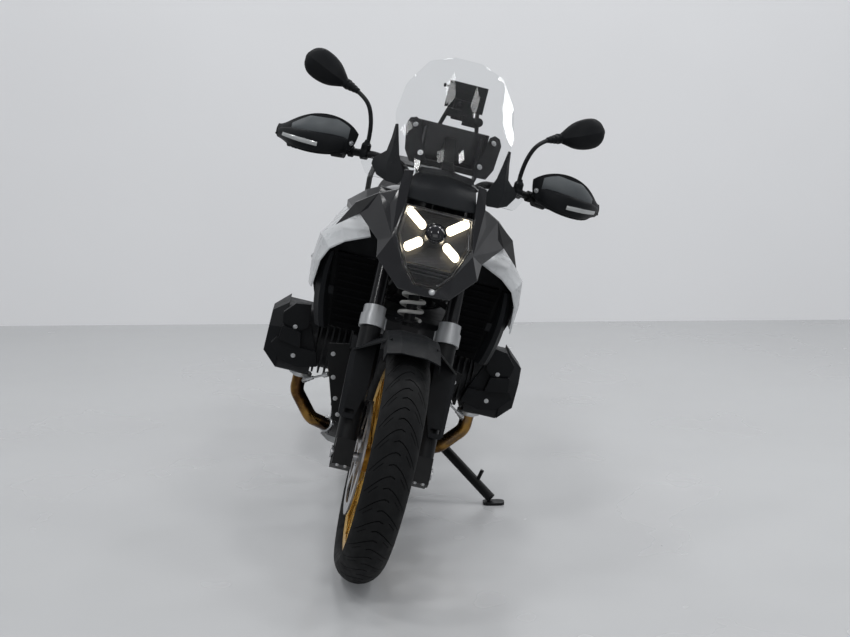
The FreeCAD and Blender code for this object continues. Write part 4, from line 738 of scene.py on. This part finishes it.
LAMP_OUT = Vector((0, -0.81, 0.58)).normalized()
PROJECTOR = Vector((0, lamp_slope(925) + 40, 925)) + LAMP_OUT * 34
piece = Piece()
piece.lathe(PROJECTOR, LAMP_OUT, [(25, -1), (25, 2), (23, 6), (18, 10), (11, 13), (4, 14.3)], 32)
piece.done("projector_glass", "chassis", "screen_display")
piece = Piece()
piece.lathe(PROJECTOR, LAMP_OUT, [(29.5, -4), (29.5, 3), (27, 4.5), (25.4, 3.2), (25.2, 0.3)], 32)
piece.done("projector_ring", "chassis", "gloss_black")

# Dark surrounds that close the gap between radiator, nose and white panel

for side in (1, -1):
    piece = Piece()
    outline = [(100, 590), (112, 740), (126, 812), (132, 868), (150, 884), (184, 902), (244, 878), (284, 832),
               (292, 766), (288, 700), (270, 650), (254, 588), (214, 582)]
    piece.slab([(side * x, 386, z) for x, z in outline], (0, 4, 0))
    piece.done(sided("surround", side), "chassis", "black_plastic", edge=1.0)

# Small sensor at the lamp's foot

at, way = from_front("beak", 20, 803)
piece = Piece()
piece.lathe(at, LAMP_OUT, [(8.5, -3), (8.5, 3), (7.2, 4.4), (6.4, 3.6), (4.5, 5.2), (1.5, 6)], 24)
piece.done("nose_sensor", "chassis", "silver")

# Light bars: rounded guides that glow in an X

piece = Piece()
for side in (1, -1):
    for x0, z0, x1, z1, wide in ((39, 955, 77, 981, 10.6), (39, 912, 65, 895, 10.8)):
        start, end = Vector((side * x0, 0, z0)), Vector((side * x1, 0, z1))
        along = (end - start).normalized()
        rise = Vector((-along.z, 0, along.x))
        rings = []
        for grow, out in ((1.0, 34), (1.0, 16), (0.9, 13), (0.6, 11.5)):
            ring = []
            for k in range(24):
                angle = math.tau * (k + 0.5) / 24
                centre = end if math.cos(angle) > 0 else start
                at = centre + (along * math.cos(angle) + rise * math.sin(angle)) * wide * grow
                ring.append(Vector((at.x, lamp_slope(at.z) + out, at.z)))
            rings.append(ring)
        made = piece.grid(rings, around=True)
        piece.bm.faces.new(made[-1])
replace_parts(piece.done("light_guides", "chassis", "light", angle=50), "light_bars")

# Device holder: mount plate, knobs and a side lever behind the device

piece = Piece()
piece.block(-14, 48, 448, 459, 1232, 1290)
piece.block(-30, 10, 440, 450, 1238, 1262)
piece.block(20, 62, 440, 450, 1222, 1250)
piece.lathe((4, 449, 1276), (0, -1, 0), [(9, 0), (9, 5), (7, 6.5), (3, 7)], 24)
piece.lathe((66, 452, 1240), (0, -1, 0), [(13, 0), (13, 12), (10, 14), (4, 15)], 24)
piece.lathe((-38, 466, 1320), (-1, 0, 0), [(3, 0), (3, 9), (5.5, 10), (5.5, 15), (3, 16)], 16)
for z in (1276, 1292, 1308, 1322):
    piece.block(-30, 64, 456.4, 459, z, z + 3)
piece.done("device_mount", "chassis", "black_plastic", edge=1.4)

# Display glass and device glass toward the rider

piece = Piece()
piece.block(-97, 97, 443.5, 446, 1107, 1205)
piece.block(-34, 68, 473.6, 475.4, 1266, 1334)
piece.done("display_glass", "chassis", "screen_display", edge=1.0)

# Fuel cap on the tank

at, way = touch("fuel_tank", (0, 610, 1400), (0, 0, -1))
piece = Piece()
piece.lathe(at, way, [(37, -6), (37, 4), (34, 6.5), (27, 6.5), (25, 5), (10, 6), (9, 8), (3, 8.4)], 40)
piece.done("fuel_cap", "chassis", "cast_dark")

# Tail lamp glass and turn signal glasses

piece = Piece()
piece.block(-66, 66, 1625, 1633, 869, 893)
for side in (1, -1):
    piece.lathe((side * 110, 1799, 700), (0, 1, 0), [(16, -1), (16, 2), (13, 7), (7, 10), (2, 10.6)], 24)
piece.done("tail_glass", "chassis", "lamp_glass", edge=2.0)

# Engine sides: round covers with bolts and ribs, oil sight and drain

CASE_X = 139
REAR_COVER, FRONT_COVER = (700, 430), (470, 380)
for side in (1, -1):
    piece = Piece()
    piece.lathe((side * CASE_X, *REAR_COVER), (side, 0, 0),
                [(84, 0), (84, 6), (78, 12), (60, 14), (56, 10), (20, 10), (17, 14), (4, 14)], 48)
    piece.lathe((side * CASE_X, *FRONT_COVER), (side, 0, 0),
                [(52, 0), (52, 5), (47, 10), (30, 11), (27, 8), (6, 8)], 40)
    for k in range(6):
        piece.block(*sorted((side * CASE_X, side * (CASE_X + 6))), 470, 700, 568 + 10 * k, 572 + 10 * k)
    piece.done(sided("engine_cover", side), "chassis", "cast_dark", edge=1.0)
    piece = Piece()
    for k in range(8):
        angle = math.tau * k / 8
        around = Vector((0, math.cos(angle), math.sin(angle)))
        piece.bolt(Vector((side * 145, *REAR_COVER)) + around * 74, (side, 0, 0), 4, 4)
        if k % 2:
            piece.bolt(Vector((side * 143, *FRONT_COVER)) + around * 46, (side, 0, 0), 3.5, 4)
    piece.done(sided("cover_bolts", side), "chassis", "silver")

# Front plates beside the crankcase, each with a row of four bolts

for side in (1, -1):
    outline = [(side * x, 392, z)
               for x, z in ((200, 528), (138, 540), (100, 330), (112, 304), (136, 308), (190, 474))]
    piece = Piece()
    piece.slab(outline, (0, 7, 0))
    piece.done(sided("front_plate", side), "chassis", "black_paint", edge=1.5)
    piece = Piece()
    for x, z in ((180, 500), (164, 433), (144, 373), (126, 328)):
        piece.bolt((side * x, 392, z), (0, -1, 0), 4.5, 4)
    piece.done(sided("plate_bolts", side), "chassis", "silver")

# Header flanges, the clamp sleeve and its leaf plate

piece = Piece()
for side in (1, -1):
    piece.lathe((side * 257, 512, 402), (0, 0, -1), [(34, 0), (34, 7), (24, 9), (23, 14)], 32)
    piece.lathe((side * 148, 570, 247), (-side * 0.66, 0.69, -0.3), [(22, 0), (25, 2), (25, 26), (22, 28)], 32)
piece.done("header_sleeves", "chassis", "silver")
piece = Piece()
piece.slab([(-156, 566, 216), (-130, 572, 196), (-98, 578, 188), (-101, 580, 226), (-128, 574, 240)], (0, 3, 0))
piece.done("leaf_plate", "chassis", "silver", edge=0.8)

# Sensor screwed into each header, with its plug

for side in (1, -1):
    start = Vector((side * 188, 436, 424))
    at, way = touch("exhaust_headers", start, Vector((side * 252, 512, 372)) - start)
    out = (start - at).normalized()
    piece = Piece()
    piece.lathe(at, out, [(9, -4), (9, 5), (7.5, 6), (7.5, 20), (6, 22), (5.6, 40), (4, 42)], 24)
    piece.lathe(start - out * 6, out, [(5, 0), (8, 2), (8, 20), (6, 23)], 20)
    piece.tube([at + out * 36, start - out * 14, start], 3.2)
    piece.done(sided("header_sensor", side), "chassis", "silver")

# Silencer bands

piece = Piece()
for y, z, x, w in ((1250, 401, -184, 58), (1560, 524, -192, 54)):
    ring = []
    for step in (-9, -8, 8, 9):
        row = []
        for k in range(40):
            angle = math.tau * k / 40
            grow = 1.5 if abs(step) < 9 else -2
            high = (w + 16 + grow)
            up = high * math.sin(angle)
            row.append((x + (w - 2 + grow) * math.cos(angle), y + step - 0.36 * up, z + 0.37 * step + up))
        ring.append(row)
    piece.grid(ring, around=True)
piece.done("silencer_bands", "chassis", "black_paint")

# Ribbed rubber on the footpegs

piece = Piece()
for side in (1, -1):
    for k in range(9):
        x = side * (198 + 8.4 * k)
        piece.block(*sorted((x, x + side * 4.5)), 809, 843, 391.6, 397)
piece.done("footpeg_rubbers", "chassis", "grip_rubber", edge=1.0)


# Padded seats

def swell(node_name, name, shrink, cap):
    """Closed pad: remeshed, blown up a little as cloth, and smoothed."""
    source = NODES[node_name]
    mesh = source.data.copy()
    pad = bpy.data.objects.new(name, mesh)
    bpy.context.scene.collection.objects.link(pad)
    bm = bmesh.new()
    bm.from_mesh(mesh)
    bmesh.ops.remove_doubles(bm, verts=bm.verts, dist=1e-5)
    bm.to_mesh(mesh)
    bm.free()
    mesh.remesh_voxel_size = 0.006
    bpy.context.view_layer.objects.active = pad
    pad.select_set(True)
    bpy.ops.object.voxel_remesh()
    mesh = pad.data
    relax = pad.modifiers.new("relax", "SMOOTH")
    relax.factor = 0.5
    relax.iterations = 4
    bpy.ops.object.modifier_apply(modifier="relax")
    normals = [v.normal.copy() for v in mesh.vertices]
    for vertex, normal in zip(mesh.vertices, normals):
        vertex.co -= normal * shrink
    before = [v.co.copy() for v in mesh.vertices]
    cloth = pad.modifiers.new("cloth", "CLOTH")
    cloth.settings.use_pressure = True
    cloth.settings.uniform_pressure_force = 4.0
    cloth.settings.effector_weights.gravity = 0.0
    cloth.settings.quality = 5
    cloth.collision_settings.use_collision = False
    for step in range(1, 21):
        bpy.context.scene.frame_set(step)
    bpy.ops.object.modifier_apply(modifier="cloth")
    bpy.context.scene.frame_set(1)
    for vertex, was in zip(pad.data.vertices, before):
        move = vertex.co - was
        if move.length > cap:
            vertex.co = was + move.normalized() * cap
    pad.select_set(False)
    finer = pad.modifiers.new("finer", "SUBSURF")
    finer.levels = finer.render_levels = 1
    dress(pad, "seat_cover")
    for polygon in pad.data.polygons:
        polygon.use_smooth = True
    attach(pad, "chassis")
    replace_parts(pad, node_name)


swell("rider_seat", "rider_pad", 0.004, 0.007)
swell("pillion_seat", "pillion_pad", 0.004, 0.007)


# Floor, wall, light and camera

def stage_finish(name, colour, rough, shown):
    """Plain surface that takes the shadow and adds an even pale tone where the camera sees it."""
    shader = Shader(name)
    shader.colour(shader.noise(1.3, 4.0), tones(colour, 0.02))
    shader.roughness(shader.noise(2.0), rough, rough + 0.1)
    path = shader.nodes.new("ShaderNodeLightPath")
    seen = shader.nodes.new("ShaderNodeMath")
    seen.operation = "MAXIMUM"
    more = shader.nodes.new("ShaderNodeMath")
    more.operation = "MAXIMUM"
    shader.links.new(path.outputs["Is Camera Ray"], seen.inputs[0])
    shader.links.new(path.outputs["Is Transmission Ray"], seen.inputs[1])
    shader.links.new(seen.outputs["Value"], more.inputs[0])
    shader.links.new(path.outputs["Is Glossy Ray"], more.inputs[1])
    shader.set(Emission_Color=(*shown, 1))
    shader.links.new(more.outputs["Value"], shader.main.inputs["Emission Strength"])
    return shader.material


def one_sided(material):
    """Seen from its back, the surface is clear, so it hides nothing in views from behind."""
    tree = material.node_tree
    mix = tree.nodes.new("ShaderNodeMixShader")
    tree.links.new(tree.nodes.new("ShaderNodeNewGeometry").outputs["Backfacing"], mix.inputs["Fac"])
    tree.links.new(tree.nodes["Principled BSDF"].outputs["BSDF"], mix.inputs[1])
    tree.links.new(tree.nodes.new("ShaderNodeBsdfTransparent").outputs["BSDF"], mix.inputs[2])
    tree.links.new(mix.outputs["Shader"], tree.nodes["Material Output"].inputs["Surface"])
    return material


def plane(name, corners, material):
    mesh = bpy.data.meshes.new(name)
    mesh.from_pydata(corners, [], [range(4)])
    mesh.materials.append(material)
    obj = bpy.data.objects.new(name, mesh)
    bpy.context.scene.collection.objects.link(obj)


HALL, WALL_HIGH = 12, 8
plane("floor", [(-HALL, -HALL, 0), (HALL, -HALL, 0), (HALL, HALL, 0), (-HALL, HALL, 0)],
      stage_finish("floor", (0.38, 0.385, 0.39), 0.2, (0.06, 0.062, 0.065)))
plane("wall", [(-HALL, WALL_Y, 0), (HALL, WALL_Y, 0), (HALL, WALL_Y, WALL_HIGH), (-HALL, WALL_Y, WALL_HIGH)],
      one_sided(stage_finish("wall", (0.42, 0.425, 0.435), 0.8, (0.28, 0.284, 0.292))))


CEILING_UP, CEILING_SIZE, CEILING_WATTS = 4.4, 0.55, 27


def area_light(name, at, target, size, watts):
    """Rectangular lamp turned to a target."""
    data = bpy.data.lights.new(name, "AREA")
    data.shape = "RECTANGLE"
    data.size, data.size_y = size
    data.energy = watts
    obj = bpy.data.objects.new(name, data)
    obj.location = at
    obj.rotation_mode = "QUATERNION"
    obj.rotation_quaternion = (Vector(target) - Vector(at)).to_track_quat("-Z", "Y")
    bpy.context.scene.collection.objects.link(obj)
    return obj


for row, y in enumerate((-3.0, -0.6, 1.6)):
    for column, x in enumerate((-1.9, 0.2, 2.3)):
        light = area_light("ceiling_%d%d" % (row, column), (x, y, CEILING_UP), (x * 0.4, y * 0.5, 0),
                           (CEILING_SIZE, CEILING_SIZE), CEILING_WATTS)
        # The others would show as spots in the screen, over the device and the display.
        light.visible_glossy = row == 2 or (row, column) in ((0, 0), (0, 2))
area_light("fill", (0.4, -6.2, 2.6), (0, -0.3, 0.8), (4.5, 3.0), 55)
area_light("strip_left", (-2.9, -3.6, 1.5), (0, -0.9, 1.0), (0.12, 1.5), 3.5)
area_light("strip_right", (3.1, -3.2, 1.6), (0, -0.9, 1.0), (0.12, 1.5), 3.5)
area_light("window_right", (3.3, 0.9, 3.1), (0, -0.6, 1.2), (0.45, 1.7), 26)
area_light("window_left", (-3.3, 0.7, 3.3), (0, -0.6, 1.2), (0.3, 0.9), 12)

world = bpy.data.worlds.new("studio")
world.use_nodes = True
nodes, links = world.node_tree.nodes, world.node_tree.links
nodes["Background"].inputs["Color"].default_value = (0.82, 0.85, 0.9, 1)
nodes["Background"].inputs["Strength"].default_value = 0.3
sky = nodes.new("ShaderNodeBackground")
sky.inputs["Color"].default_value = (0.57, 0.575, 0.585, 1)
sky.inputs["Strength"].default_value = 1.0
mix = nodes.new("ShaderNodeMixShader")
path = nodes.new("ShaderNodeLightPath")
seen = nodes.new("ShaderNodeMath")
seen.operation = "MAXIMUM"
links.new(path.outputs["Is Camera Ray"], seen.inputs[0])
links.new(path.outputs["Is Transmission Ray"], seen.inputs[1])
links.new(seen.outputs["Value"], mix.inputs["Fac"])
links.new(nodes["Background"].outputs["Background"], mix.inputs[1])
links.new(sky.outputs["Background"], mix.inputs[2])
links.new(mix.outputs["Shader"], nodes["World Output"].inputs["Surface"])
bpy.context.scene.world = world

facing = turn((0, 0, 1), CAMERA_YAW) @ turn((1, 0, 0), -CAMERA_DOWN)
camera_data = bpy.data.cameras.new("camera")
camera_data.sensor_width = SENSOR
camera_data.lens = FOCAL_PX / PHOTO_W * SENSOR
camera = bpy.data.objects.new("camera", camera_data)
camera.matrix_world = Matrix.Translation((CAMERA_AT - ORIGIN) * 0.001) @ facing @ turn((1, 0, 0), 90)
bpy.context.scene.collection.objects.link(camera)
bpy.context.scene.camera = camera
bpy.context.scene.view_settings.view_transform = "Standard"

bpy.context.view_layer.update()
